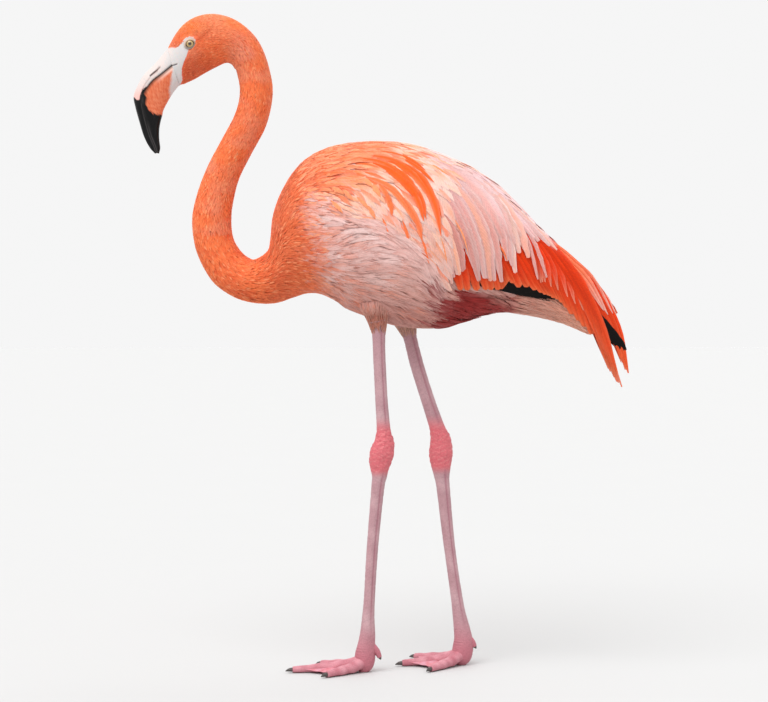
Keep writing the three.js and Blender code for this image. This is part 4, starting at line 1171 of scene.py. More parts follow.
def leg_tint(points, turn):
    """Mauve legs with a rosy joint, pink towards the foot, and painted shade in the rear groove and the
    creases.
    """
    z = points[..., 2]
    fine, coarse = wobble(points, 5, 21), wobble(points, 40, 22)
    tint = mix(MAUVE, PALE_MAUVE, np.clip(0.45 + 0.3 * coarse - 0.8 * ease(-z, -600, -420) + 0.5, 0, 1))
    tint = mix(tint, MAUVE, ease(z, 440, 560))
    joint = ease(z, 322, 340) * (1 - ease(z, 398, 430))
    tint = mix(tint, mix(ROSE, JOINT_PINK, np.clip(0.4 * fine, 0, 1)), joint)
    foot = 1 - ease(z, 18, 90)
    tint = mix(tint, FOOT_PINK, foot)
    # painted shade down the groove at the rear of the leg
    groove = np.exp(-(((np.cos(turn) + 0.45) / 0.14) ** 2)) * ease(z, 40, 120) * (1 - joint)
    tint = mix(tint, LEG_GROOVE_SHADE, 0.65 * groove)
    # painted shade: dark creases across the leg just above the toes
    creases = ease(np.cos(z * 2 * math.pi / 4.4), 0.6, 1) * ease(z, 30, 34) * ease(-z, -46, -42)
    tint = mix(tint, LEG_CREASE_SHADE, 0.5 * creases * ease(np.cos(turn), -0.2, 0.4))
    return mix(tint, tint * 0.75, np.clip(0.35 * fine, 0, 0.4))


def add_leg(heap, leg, count=430, sides=56):
    """The bare leg down to the sole, with its scales, the knobs of its joint and the groove down its rear."""
    at = np.linspace(THIGH_END - 0.7, len(leg) - 1, count)
    table = np.array(leg, float)
    points = leg_rings(table, at, sides)
    turn = round_turn(sides) + np.zeros((count, 1))
    centre = points.mean(1, keepdims=True)
    steps = np.linalg.norm(np.diff(centre[:, 0], axis=0), axis=1)
    distance = np.concatenate([[0], np.cumsum(steps)])[:, None]
    z = points[..., 2]
    knobs = 0.9 * np.clip(wobble(points, 7, 23), -1, 1) * ease(z, 330, 350) * (1 - ease(z, 392, 412))
    rear_groove = -0.8 * np.exp(-(((np.cos(turn) + 0.45) / 0.12) ** 2)) * ease(z, 60, 120)
    rear_groove *= 1 - ease(z, 322, 340) + ease(z, 398, 424)
    relief = scale_relief(distance, turn) + knobs + rear_groove
    points = points + unit(points - centre) * relief[..., None]
    points[..., 2] = np.maximum(points[..., 2], 0)
    heap.loft(points, leg_tint(points, turn), flip=True)


def toe_shape(share):
    """A toe's height and radius at a share of its length."""
    height = np.interp(share, [0, 0.3, 0.65, 1], [TOE.root_z, 10, 7, TOE.tip_radius])
    radius = np.interp(share, [0, 0.3, 0.65, 1], [TOE.root_radius, 9, TOE.mid_radius, TOE.tip_radius])
    return height, radius


def toe_points(joint, tip, count=60, sides=28):
    """A toe from the joint to its tip, with its sole on the floor and a pad at each of its joints."""
    joint, tip = np.array(joint, float), np.array(tip, float)
    length = np.linalg.norm(tip - joint)
    ahead = (tip - joint) / length
    share = np.linspace(0, 1, count)
    height, radius = toe_shape(share)
    radius *= 1 + 0.06 * np.cos(share * 2 * math.pi * 3.2)
    turn = round_turn(sides)
    plates = zigzag(share * length / SCALES.toe)[:, None]
    relief = -0.35 * ease(plates, 0.72, 1) * ease(np.sin(turn), 0.1, 0.5)
    out = (radius[:, None] + relief) * np.cos(turn)
    points = np.zeros((count, sides, 3))
    points[..., 0] = joint[0] + ahead[0] * (share * length)[:, None] - ahead[1] * out
    points[..., 1] = joint[1] + ahead[1] * (share * length)[:, None] + ahead[0] * out
    points[..., 2] = np.maximum(height[:, None] + (radius[:, None] + relief) * np.sin(turn), 0)
    return points


def web_points(joint, tip_a, tip_b, steps=34):
    """The web between two toes: a thin plate, wrinkled along the toes, with a scalloped edge."""
    joint, tip_a, tip_b = (np.array(p, float) for p in (joint, tip_a, tip_b))
    u, v = np.meshgrid(np.linspace(0, 1, steps), np.linspace(0, 1, steps), indexing="ij")
    edge = WEB.reach - WEB.scallop * np.sin(math.pi * v)
    share = WEB.start + (edge - WEB.start) * u
    place = joint + (mix(tip_a, tip_b, v) - joint) * share[..., None]
    height, radius = toe_shape(share)
    sag = 2.5 + 2 * u**3 + WEB.hollow * np.exp(-(((share - 0.28) / 0.14) ** 2))
    z = height + 0.4 * radius - (sag - 0.35 * np.sin(v * 23 + 3 * u)) * np.sin(math.pi * v)
    half = WEB.thick / 2 * (1 - 0.4 * u)
    top = np.concatenate([place, (z + half)[..., None]], -1)
    low = np.concatenate([place, (z - half)[..., None]], -1)
    return np.concatenate([top, low[:, ::-1]], 1)


def tube(stations, radii, sides=20, rings=24):
    """The rings of a tube along a few points."""
    table = np.concatenate([np.array(stations, float), np.array(radii, float)[:, None]], 1)
    rows = through(table, np.linspace(0, len(table) - 1, rings))
    centre, radius = rows[:, :3], rows[:, 3]
    along = unit(np.gradient(centre, axis=0))
    aside = unit(np.cross(along, np.array([0, 1.0, 0.02])))
    other = np.cross(along, aside)
    turn = round_turn(sides)
    out = aside[:, None] * np.cos(turn)[:, None] + other[:, None] * np.sin(turn)[:, None]
    return centre[:, None] + out * radius[:, None, None]


def make_leg(label):
    """A bare leg with its three toes, the webs between them and the small hind toe."""
    foot = FEET[label]
    heap = Heap()
    add_leg(heap, LEGS[label])
    tips = list(foot.toes.values())
    for tip in tips:
        points = toe_points(foot.joint, tip)
        tint = mix(FOOT_PINK, TOE_PINK, np.clip(0.35 + 0.3 * wobble(points, 24, 31), 0, 1))
        # painted shadow where the toes touch the floor
        heap.loft(points, mix(tint, SOLE_CONTACT_SHADE, 1 - ease(points[..., 2], 0.4, 2.4)))
    for a, b in zip(tips, tips[1:]):
        points = web_points(foot.joint, a, b)
        heap.loft(points, mix(WEB_PINK, ROSE, np.clip(0.3 + 0.4 * wobble(points, 16, 32), 0, 0.6)), flip=True)
    root, tip = foot.hind_root, foot.hind_tip
    start = root - 0.6 * (tip - root) * np.array([1, 1, 0]) + np.array([0, 0, 3])
    heap.loft(tube([start, root + 0.4 * (tip - root), tip], [6.5, 5.6, 3.8]), FOOT_PINK)
    solids = [f"{part}_{label}" for part in ("tibia", "ankle", "tarsus", "foot")]
    heap.piece("leg_" + label, LEG, solids, sharp=40)


def make_claws(label):
    """Short curved claws at the toes' tips."""
    foot = FEET[label]
    heap = Heap()
    shares = np.array([-0.12, 0.3, 0.65, 1.0])
    for tip in foot.toes.values():
        ahead = unit(np.array([tip[0] - foot.joint[0], tip[1] - foot.joint[1], 0.0]))
        line = np.array([tip[0], tip[1], TOE.tip_radius]) + ahead * (CLAW.length * shares)[:, None]
        line[:, 2] -= CLAW.droop * np.clip(shares, 0, 1) ** 2
        points = tube(line, [CLAW.radius, CLAW.radius * 0.9, CLAW.radius * 0.62, 0.5])
        points[..., 2] = np.maximum(points[..., 2], 0.3)
        heap.loft(points, mix(CLAW_GREY, CLAW_TIP, np.linspace(0, 1, len(points))[:, None]))
    root, tip = foot.hind_root, foot.hind_tip
    ahead = unit(tip - root)
    heap.loft(tube([tip - ahead, tip + ahead * 2, tip + ahead * 4.5], [3.4, 2.4, 0.7]), CLAW_GREY)
    solids = [f"claw_{toe}_{label}" for toe in ("inner", "middle", "outer", "hind")]
    heap.piece("claws_" + label, CLAW_HORN, solids)


make_skin()
make_bill()
make_eyes()
for leg_label in LEGS:
    make_leg(leg_label)
    make_claws(leg_label)


# -------- the coat


def wing_top(x):
    """The level over which the wing's feathers are orange, from the shoulder to the middle of the back."""
    return np.interp(x, [-170, -130, -70, -20, 40, 100], [740, 792, 806, 826, 872, 905])


def wing_tint(points):
    """The folded wing's small feathers: orange along the shoulder, peach and pale pink below and behind."""
    x, z = points[..., 0], points[..., 2]
    coarse, fine = wobble(points, 70, 41), wobble(points, 24, 42)
    pale = mix(COVERT, PEACH, np.clip(0.6 - x / 160 + 0.6 * fine, 0, 0.9))
    pale = mix(pale, LIGHT_ORANGE, np.clip(0.25 - x / 300 + 0.9 * fine, 0, 0.6))
    pale = mix(pale, ROSY_COVERT, 0.6 * ease(-z, -790, -720))
    orange = ease(z + 10 * fine, wing_top(x) - 20, wing_top(x) + 4) * ease(-x + 10 * fine, -60, 0)
    shoulder = mix(ORANGE, LIGHT_ORANGE, np.clip(0.1 + 0.5 * coarse + 0.4 * fine, 0, 0.7))
    return mix(pale, shoulder, orange)


def plume_tint(points):
    """The long plumes: pale lilac pink over the back, duskier towards the wing's lower edge, partly as
    painted shade.
    """
    x, z = points[..., 0], points[..., 2]
    coarse, fine = wobble(points, 60, 71), wobble(points, 17, 72)
    pale = mix(PLUME_ROSE, LILAC_PLUME, np.clip(0.5 + 0.7 * coarse, 0, 1))
    pale = mix(pale, PINK_PLUME, np.clip(0.3 + 0.5 * fine, 0, 0.8))
    low = np.interp(x, [0, 120, 300], [720, 740, 660])
    # darker towards the wing's lower edge: partly the plumes' own colour, partly painted shade
    pale = mix(pale, DUSKY_PLUME, 0.9 * ease(low - z, -85, -10))
    return mix(pale, LOW_PLUME, 0.85 * ease(low - z, -10, 60) * ease(-x, -190, -120))


def jitter(dice, amount, *shape):
    """Factors that vary round 1 by up to an amount."""
    return 1 + amount * dice.uniform(-1, 1, shape)


def painter(base, dice, vary, tip, tip_share, root, edge=None, edge_share=0.0, whims=(), whim_share=0.0):
    """Colours feathers by place: painted shade towards the root, with another colour at the tip and edges, or
    by whim.
    """

    def paint(path, share, across):
        count, rings = path.shape[:2]
        stops = [0, rings // 3, 2 * rings // 3, rings - 1] if rings > 6 else [rings // 3]
        weights = np.stack([np.interp(np.arange(rings), stops, row) for row in np.eye(len(stops))], 1)
        ground = weights @ base(path[:, stops])
        if whims:
            chosen = np.array(whims)[dice.integers(len(whims), size=count)]
            amount = (dice.random(count) < whim_share) * dice.uniform(0.4, 0.95, count)
            ground = mix(ground, chosen[:, None], amount[:, None])
        ground = ground * jitter(dice, vary, count, 1, 1)
        # painted shade: each feather darker towards its root, by the factor root
        tints = ground[:, :, None] * (root + (1 - root) * ease(share, 0, 0.5))[..., None]
        amount = tip_share * share**2 * dice.uniform(0.4, 1.3, (count, 1, 1))
        tints = mix(tints, tip, np.clip(amount, 0, 1))
        if edge is not None:
            amount = edge_share * np.abs(across) ** 1.5 * dice.uniform(0.3, 1.4, (count, 1, 1))
            tints = mix(tints, edge, np.clip(amount, 0, 1))
        return tints * jitter(dice, 0.05, *tints.shape[:3], 1)

    return paint


def below_wing(points):
    """How far side-view places lie under the folded wing's lower edge."""
    return read_line(WING_EDGE, points[..., 0]) - points[..., 2]


def on_wing(points, side):
    """Whether points lie on one side's folded wing, up to the middle of the back."""
    return (points[:, 1] * side > -2) & (below_wing(points) < 6)


# The next five say which points of the sheet carry the roots of a layer's feathers.


def on_breast(points, _side):
    return (points[:, 0] < -98 + 12 * wobble(points, 20, 51)) & (points[:, 2] < 905)


def with_down(points, side):
    x = points[:, 0]
    hidden = np.interp(x, [88, 96, 130, 150], [-4, -22, -20, -12])
    span = (x > -134 + 10 * wobble(points, 20, 52)) & (x < 262)
    return (points[:, 1] * side > 0) & span & (below_wing(points) > hidden)


def with_plumes(points, side):
    x = points[:, 0]
    high = points[:, 2] > np.interp(x, [18, 60, 110, 160, 220, 300], [750, 745, 745, 756, 784, 790])
    return on_wing(points, side) & (x > 8) & (x < 286) & (high | (points[:, 1] * side < 17))


def with_medians(points, side):
    x = points[:, 0]
    span = (x > -106 + 12 * wobble(points, 30, 63)) & (x < 86)
    return on_wing(points, side) & span & (points[:, 2] < wing_top(x) + 14)


def with_lessers(points, side):
    x = points[:, 0]
    span = (x > -150) & (x < 46 + 14 * wobble(points, 30, 62))
    return on_wing(points, side) & span & (points[:, 2] > wing_top(x) - 14)


# Layers: the kind of feather, where it grows, first and last station, gaps along and round the body, length
# and width at size 1, sizes at a few x and the most by chance, and how feathers turn, curl, rise and roll.
BREAST = SimpleNamespace(
    kind=form(5, 3, 0.3, widest=0.45, lift=0.3, wave=0.1), keep=on_breast,
    first=NECK_END, last=BODY_START, gaps=(4.0, 2.8), length=14.5, width=3.3,
    sizes=([-210, -110], [0.85, 1.35]), most=1.2, turn=0.14, curl=0.0, level=-0.5, rise=0.22,
    roll=0.0, sway=0.07,
)
MEDIANS = SimpleNamespace(
    kind=form(10, 7, 0.5, start=0.5, widest=0.6, late=0.8, point=0.15, root=3.4, slant=0.35, camber=0.16,
              fray=0.24),
    keep=with_medians, first=BODY_START - 3.4, last=BODY_START + 3.4, gaps=(14.5, 9.5), length=54, width=13.5,
    sizes=([-100, 60], [0.66, 1.3]), most=1.15, turn=0.07, curl=0.12, level=-0.6, rise=0.4,
    roll=0.1, sway=0.03,
)
LESSERS = SimpleNamespace(
    kind=form(9, 5, 0.5, start=0.4, point=0.12, root=2.8, lift=0.2, slant=0.35, camber=0.2, fray=0.25),
    keep=with_lessers, first=NECK_END + 2.5, last=BODY_START + 2.4, gaps=(11.2, 6.8), length=44, width=11,
    sizes=([-150, -60, 40], [0.6, 1.05, 1.35]), most=1.15, turn=0.08, curl=0.15, level=-0.4, rise=0.35,
    roll=0.12, sway=0.03,
)


def cover(heap, layer, side, paint, dice):
    """Grows one of the layers on one side of the bird, or on both where its roots allow that."""
    rows, turns = side_roots(layer.first, layer.last, *layer.gaps, dice, lambda p: layer.keep(p, side))
    count = len(rows)
    x = spine.read(rows, turns)[0][:, 0]
    scale = np.interp(x, *layer.sizes) * dice.uniform(0.85, layer.most, count)
    heading = lying(dice.normal(0, layer.turn, count), layer.curl)
    level = layer.level + dice.uniform(-layer.rise, layer.rise, count)
    roll = layer.roll * side + dice.normal(0, layer.sway, count)
    grow(heap, spine, rows, turns, heading, layer.length * scale, layer.width * scale, layer.kind, paint,
         dice, level, roll)


def grow_head_and_neck():
    """Small close feathers that grow larger down the neck."""
    dice = np.random.default_rng(3)
    kind = form(3, 3, 0.3, widest=0.5, point=0.15, root=0.9, lift=0.35, fine=1.0)
    margin = np.array([-1.0, 0, 0.5])  # how far the feathers keep off the bare face
    stations = [0, *(station_row(station) for station in (3, 7, 11, NECK_END))]

    def size(row):
        return np.interp(row, stations, [0.5, 0.7, 0.95, 1.1, 1.35])

    bands = (("coat_head", "coat_head", 0, 7.2), ("coat_neck_upper", "coat_head", 7.2, 12.5),
             ("coat_neck_lower", "coat_body", 12.5, NECK_END + 0.4))
    for name, slot, first, last in bands:
        heap = Heap()
        rows, turns = staggered(spine, station_row(first), station_row(last), 2.7, 1.9, dice,
                                lambda p: ~bare(p + margin), size)
        count = len(rows)
        scale = size(rows) * dice.uniform(0.8, 1.2, count)
        paint = painter(coat_tint, dice, 0.08, LIGHT_ORANGE, 0.28, 0.9, whims=(LIGHT_ORANGE, DEEP_ORANGE),
                        whim_share=0.2)
        heading = tilted(dice.normal(0, 0.14, count))
        grow(heap, spine, rows, turns, heading, 8.4 * scale, 3.1 * scale, kind, paint, dice,
             level=-0.45 * scale + dice.uniform(-0.1, 0.12, count), roll=dice.normal(0, 0.05, count))
        heap.piece(name, FEATHER, unwrapped=True)


def grow_breast():
    dice = np.random.default_rng(5)
    heap = Heap()
    paint = painter(coat_tint, dice, 0.09, LIGHT_ORANGE, 0.3, 0.88, whims=(LIGHT_ORANGE, DEEP_ORANGE),
                    whim_share=0.22)
    cover(heap, BREAST, 0, paint, dice)
    heap.piece("coat_breast", FEATHER, unwrapped=True)


FOLDS = SimpleNamespace(level=706, pitch=19, slope=0.19, wave=3, stretch=21)  # the flank's soft folds


def fold(x, z):
    """How far the flank stands out in folds that rise towards the tail, each with a sharp lower edge."""
    wave = FOLDS.wave * np.sin(x / FOLDS.stretch)
    across = (z - FOLDS.slope * x + wave - FOLDS.level) / FOLDS.pitch
    return (across - np.floor(across)) * ease(-x, -110, -70) * ease(z, 640, 664)


def grow_down():
    """Flank, belly and vent: fluffy feathers, each a fan of thin wavy locks."""
    kind = form(7, 3, 0.35, widest=0.4, late=0.65, point=0.08, root=1.4, camber=0.0, wave=0.3)
    locks = 7
    fan_out = np.linspace(-1, 1, locks)
    for side, label in SIDES:
        dice = np.random.default_rng(7)
        heap = Heap()
        rows, turns = side_roots(NECK_END, RUMP + 2, 11.1, 8.5, dice, lambda p: with_down(p, side))
        count = len(rows)
        points = spine.read(rows, turns)[0]
        x, z, below = points[:, 0], points[:, 2], below_wing(points)
        near_edge = np.exp(-((below / 22) ** 2)) * (x < 100)
        start = np.interp(x, [110, 160], [-9, -22])
        under = ease(-below, start, start + 12) * ease(x, 84, 96)
        rump = ease(x, 190, 260)
        fringe = ease(x, 70, 95) * ease(-z, -598, -588) * dice.random(count)
        vent = ease(x, 60, 110) * ease(-z, -655, -625)
        folds = fold(x, z) * (x > -100)
        length = np.interp(x, [-130, -60, 60, 150], [28, 44, 48, 38]) * dice.uniform(0.8, 1.15, count)
        turn = dice.normal(0, 0.08, count)[:, None] + fan_out * 0.12 + dice.normal(0, 0.035, (count, locks))
        sizes = length[:, None] * (1 - 0.14 * fan_out**2) * dice.uniform(0.82, 1.08, (count, locks))
        width = 3.6 * dice.uniform(0.8, 1.2, (count, locks))
        level = dice.uniform(-0.8, 0.2, count)[:, None] - 0.4 * fan_out**2
        lifted = 1.6 * near_edge + 1.1 * folds - 0.8 * vent - 8.5 * under - 4 * rump + 4 * fringe
        bundle = np.repeat(dice.uniform(-1, 1, count), locks)
        middle = np.tile(1 - np.abs(fan_out), count)
        warm = np.repeat(dice.random(count) < np.interp(x, [-110, 40, 60], [0.4, 0.05, 0]), locks)

        def down_paint(path, share, _across):
            uneven = 1 + 0.07 * bundle + 0.05 * dice.uniform(-1, 1, len(path))
            # painted light: the middle lock of each fan lighter, the outer ones darker
            ground = coat_tint(path[:, 2]) * uneven[:, None] * (0.92 + 0.12 * middle)[:, None]
            ground = mix(ground, WARM_DOWN, 0.4 * warm)
            # painted shade: each lock darker towards its root
            tints = ground[:, None, None] * (0.84 + 0.16 * ease(share, 0, 0.5))[..., None]
            # paler tips; the middle lock's are paler still, as painted highlight
            paler = 0.5 * (1 - np.repeat(vent, locks))[:, None, None] * (0.5 + middle[:, None, None])
            belly = ease(path[:, :1, 2], 600, 690)[..., None]
            amount = np.clip(paler * share**1.5 * (0.35 + 0.65 * belly), 0, 1)
            return mix(tints, mix(PALE_PINK, tints, 0.3), amount)

        heading = lying(turn.ravel(), np.repeat(0.3 * near_edge, locks))
        grow(heap, spine, np.repeat(rows, locks), np.repeat(turns, locks), heading, sizes.ravel(),
             width.ravel(), kind, down_paint, dice, level=(level + lifted[:, None]).ravel(),
             roll=dice.normal(0, 0.12, count * locks))
        heap.piece("coat_flank_" + label, FEATHER, unwrapped=True)


# Long plumes over the folded wing, from the lowest to the top: how many, width, level, and the lines [x, z]
# from roots to tips between which they fan out.
PLUMES = (
    (9, 16, -1.8, [[[22, 812], [58, 760], [84, 706], [102, 640]],
                   [[72, 812], [106, 762], [128, 714], [140, 668]]]),
    (7, 21, -1.0, [[[62, 838], [108, 790], [138, 724], [158, 652]],
                   [[98, 842], [152, 790], [184, 728], [200, 650]]]),
    (3, 19, -0.4, [[[100, 846], [158, 798], [196, 740], [208, 684]],
                   [[114, 848], [172, 800], [210, 742], [227, 666]]]),
    (6, 21, 0.3, [[[60, 864], [118, 838], [170, 790], [206, 722]],
                  [[118, 848], [176, 810], [220, 758], [244, 694]]]),
    (2, 8, 0.0, [[[140, 836], [200, 786], [241, 722], [258, 656]],
                 [[152, 832], [212, 782], [256, 716], [277, 658]]]),
    (7, 18, 0.6, [[[90, 850], [150, 816], [206, 768], [248, 722]],
                  [[124, 848], [194, 802], [252, 748], [294, 706]]]),
)
PALE_TIP = mix(PALE_PINK, np.ones(3), 0.3)


def grow_under_plumes(heap, side, dice):
    """An even layer of plumes, under those that show, and a row of them along the ridge of the back."""
    kind = form(13, 5, 0.6, start=0.5, widest=0.62, late=0.86, point=0.3, root=7, lift=-0.2, slant=0.35,
                camber=0.14)
    rows, turns = side_roots(BODY_START + 0.4, BODY_START + 8.6, 21, 13, dice, lambda p: with_plumes(p, side))
    ridge_rows = np.arange(station_row(BODY_START + 1), station_row(BODY_START + 7.2), 3) + 1.5 * (side > 0)
    aside = np.repeat([1, 0], [len(rows), len(ridge_rows)])
    rows = np.concatenate([rows, ridge_rows])
    turns = np.concatenate([turns, (0.006 * side + 0 * ridge_rows) % 1])
    count = len(rows)
    x, _, z = spine.read(rows, turns)[0].T
    length = np.interp(z, [700, 740, 800, 850, 890], [56, 66, 90, 112, 110])
    length = length * np.interp(x, [20, 100, 200, 280], [0.9, 1.0, 0.8, 0.7])
    ridge = np.interp(x, [190, 240], [-0.2, -1.4])
    level = ridge - (ridge + 2.8) * ease(body_at(x, BACK) - z, 0, 50) - 0.5 * (1 - aside)
    paint = painter(plume_tint, dice, 0.05, PALE_TIP, 0.2, 0.8, PALE_TIP, 0.4, (PEACH, LIGHT_ORANGE), 0.1)
    heading = lying(dice.normal(0, 0.05, count), 0.05)
    grow(heap, spine, rows, turns, heading, length * dice.uniform(0.88, 1.06, count),
         19 * dice.uniform(0.8, 1.15, count), kind, paint, dice, level=level + dice.uniform(-0.6, 0.6, count),
         roll=0.09 * side * aside + dice.normal(0, 0.03, count))


def grow_long_plumes(heap, side, dice):
    kind = form(22, 7, 0.6, start=0.5, widest=0.66, late=0.9, point=0.38, root=2.4, slant=0.4, camber=0.14,
                fray=0.3)
    whims = (PEACH, mix(LIGHT_ORANGE, PEACH, 0.5), ROSY_PLUME)
    paint = painter(plume_tint, dice, 0.05, PALE_TIP, 0.25, 0.85, PALE_TIP, 0.48, whims, 0.26)
    for count, width, level, lines in PLUMES:
        paths = fan(lines, count, kind.shares, dice, 2.5)
        order = dice.permutation(count)
        side_trail(heap, side, paths[order], width * dice.uniform(0.85, 1.12, count), kind, paint, dice,
                   level=level + np.linspace(0, 0.8, count), roll=0.07 * side)


def grow_wings():
    """Plumes over the folded wings, coverts on their middle, and slim orange ones along the shoulders."""
    for side, label in SIDES:
        dice = np.random.default_rng(11)
        heap = Heap()
        grow_under_plumes(heap, side, dice)
        grow_long_plumes(heap, side, dice)
        whims = (LIGHT_ORANGE, ORANGE, PEACH)
        paint = painter(wing_tint, dice, 0.06, PALE_TIP, 0.25, 0.8, PALE_TIP, 0.5, whims, 0.4)
        cover(heap, MEDIANS, side, paint, dice)
        whims = (VIVID, VIVID, LIGHT_ORANGE, DEEP_ORANGE)
        paint = painter(wing_tint, dice, 0.08, PEACH, 0.25, 0.8, PEACH, 0.5, whims, 0.5)
        cover(heap, LESSERS, side, paint, dice)
        heap.piece("wing_coverts_" + label, PLUME, ["wing_" + label], unwrapped=True)


POINTED = form(20, 7, 0.6, late=0.8, root=1.0, slant=0.5, camber=0.14)
BLUNT = form(20, 7, 0.6, late=0.92, point=0.55, root=1.0, slant=0.5, camber=0.14, fray=0.1)

# Flight feathers of the folded wing, from the lowest to the top: how many, level, width, kind, lines [x, z]
# from roots to tips between which they fan out, colours at base and tip, and how late one turns to the other.
FLIGHT = (
    # primaries
    (7, -7.6, 13, POINTED, [
        [[112, 661], [160, 648], [210, 637], [256, 627], [290, 617]],
        [[150, 700], [190, 672], [228, 652], [262, 640], [292, 626]],
    ], BLACK, BLACK, 8),
    # secondaries
    (28, -5.6, 20, BLUNT, [
        [[50, 790], [84, 742], [110, 698], [126, 662], [134, 635]],
        [[98, 800], [136, 755], [165, 712], [187, 672], [200, 634]],
        [[108, 800], [146, 755], [178, 712], [200, 672], [212, 648]],
        [[150, 805], [190, 755], [228, 700], [256, 655], [272, 631]],
        [[175, 800], [225, 745], [262, 694], [288, 645], [303, 616]],
        [[205, 790], [258, 734], [300, 680], [334, 622], [356, 564]],
    ], RED_ORANGE, SECONDARY_TIP, 8),
    # inner secondaries
    (10, -3.6, 15, POINTED, [
        [[205, 778], [236, 728], [254, 688], [261, 650]],
        [[212, 776], [250, 720], [272, 682], [280, 646]],
        [[240, 765], [290, 708], [322, 655], [341, 603]],
    ], RED_ORANGE, PEACH, 8),
    # outer tertials
    (5, -2.4, 14, POINTED, [
        [[240, 765], [296, 700], [343, 643], [380, 582], [406, 522]],
        [[245, 762], [305, 700], [358, 650], [399, 577], [417.5, 496]],
    ], RED_ORANGE, ORANGE, 5),
    # black tips of the primaries
    (3, -1.7, 11, BLUNT, [
        [[354, 606], [368, 585], [384, 562], [397, 548], [406, 539]],
        [[362, 600], [378, 582], [394, 562], [406, 547], [413, 534]],
    ], BLACK, BLACK, 8),
    # tertials
    (8, -1.2, 21, POINTED, [
        [[225, 765], [275, 710], [315, 658], [350, 602], [384, 509]],
        [[235, 768], [285, 715], [328, 658], [366, 588], [407, 476]],
    ], RED_ORANGE, TERTIAL_TIP, 5),
    # tertials along the ridge
    (3, -3.0, 22, BLUNT, [
        [[284, 740], [306, 722], [328, 702], [352, 675], [374, 646]],
        [[290, 740], [316, 722], [344, 702], [374, 665], [398, 612]],
    ], RED_ORANGE, RIDGE_TIP, 5),
    # upper tertials
    (4, -0.2, 15, POINTED, [
        [[285, 714], [312, 686], [342, 654], [376, 602]],
        [[292, 717], [328, 690], [364, 656], [397, 594]],
    ], UPPER_TERTIAL, PALE_PINK, 5),
)


def flight_painter(base, tip, late, dice):
    """Plain black vanes, or red ones with a dark shaft, a paler tip and pale bases near the ridge."""
    plain = base is BLACK

    def paint(path, share, across):
        ground = base if plain else mix(base, SCARLET, dice.uniform(0, 0.4, len(path)))
        tints = np.broadcast_to(ground, (len(path), 3))[:, None, None] + 0 * (share + across)[..., None]
        if not plain:
            x, z = path[..., 0], path[..., 2]
            low = ease(np.interp(x, [120, 340], [672, 640]) - z, -30, 20)[:, :, None]
            tints = mix(tints, SCARLET, 0.3 * low * (1 - share))
            tints = mix(tints, tip, 0.7 * share**late)
            tints = mix(tints, mix(tip, PEACH, 0.5), 0.25 * share**2 * np.abs(across) ** 4)
            tints = mix(tints, SCARLET, 0.35 * np.exp(-((across / 0.12) ** 2)))
            near_ridge = ease(z - body_at(x, BACK), -24, -12) * ease(-x, -296, -276)
            tints = mix(tints, PALE_PINK, near_ridge[:, :, None])
        return tints * jitter(dice, 0.06, *tints.shape[:3], 1)

    return paint


def grow_flight():
    for side, label in SIDES:
        dice = np.random.default_rng(13)
        heap = Heap()
        for count, level, width, kind, lines, base, tip, late in FLIGHT:
            paths = fan(lines, count, kind.shares, dice)
            side_trail(heap, side, paths, width * dice.uniform(0.9, 1.1, count), kind,
                       flight_painter(base, tip, late, dice), dice, level=level + np.linspace(0, 1.4, count),
                       roll=side * 0.08)
        heap.piece("flight_" + label, VANE, unwrapped=True)


# Bright orange feathers that lie over the pale ones: a line of [x, z], width, how many, and colour.
STREAKS = (
    ([[-30, 822], [-2, 812], [24, 796], [46, 770], [62, 738], [68, 712]], 16, 3, ORANGE),
    ([[-40, 852], [0, 843], [30, 824], [53, 800], [66, 775], [72, 750]], 19, 4, VIVID),
    ([[-22, 860], [16, 852], [44, 836], [70, 810], [88, 774], [98, 722]], 21, 5, VIVID),
    ([[-6, 866], [30, 858], [62, 840], [90, 814]], 13, 3, VIVID),
    ([[9, 845], [41, 819], [65, 789], [75, 751]], 17, 3, VIVID),
    ([[62, 834], [78, 812], [92, 786], [102, 756]], 11, 2, VIVID),
    ([[-24, 876], [14, 874]], 8, 1, ORANGE),
    ([[70, 852], [94, 840], [114, 826]], 6, 1, LIGHT_ORANGE),
    ([[-4, 812], [8, 794], [15, 774], [18, 754]], 14, 3, ORANGE),
    ([[-38, 788], [-25, 776], [-15, 762], [-9, 750]], 11, 2, LIGHT_ORANGE),
    ([[-28, 822], [-12, 806], [0, 786]], 13, 2, LIGHT_ORANGE),
    ([[-78, 806], [-60, 796], [-46, 780]], 12, 2, LIGHT_ORANGE),
    ([[-80, 784], [-68, 772], [-60, 762]], 9, 1, LIGHT_ORANGE),
    ([[2, 756], [10, 738], [14, 726]], 6, 1, ORANGE),
    ([[36, 750], [43, 730], [47, 708]], 6, 1, ORANGE),
    ([[58, 734], [70, 714], [76, 692], [82, 674]], 7, 1, ORANGE),
    ([[118, 760], [136, 728], [146, 694]], 5, 1, LIGHT_ORANGE),
    ([[100, 722], [106, 700], [110, 680]], 5, 1, LIGHT_ORANGE),
    ([[192, 716], [204, 700], [210, 684]], 6, 1, ORANGE),
)


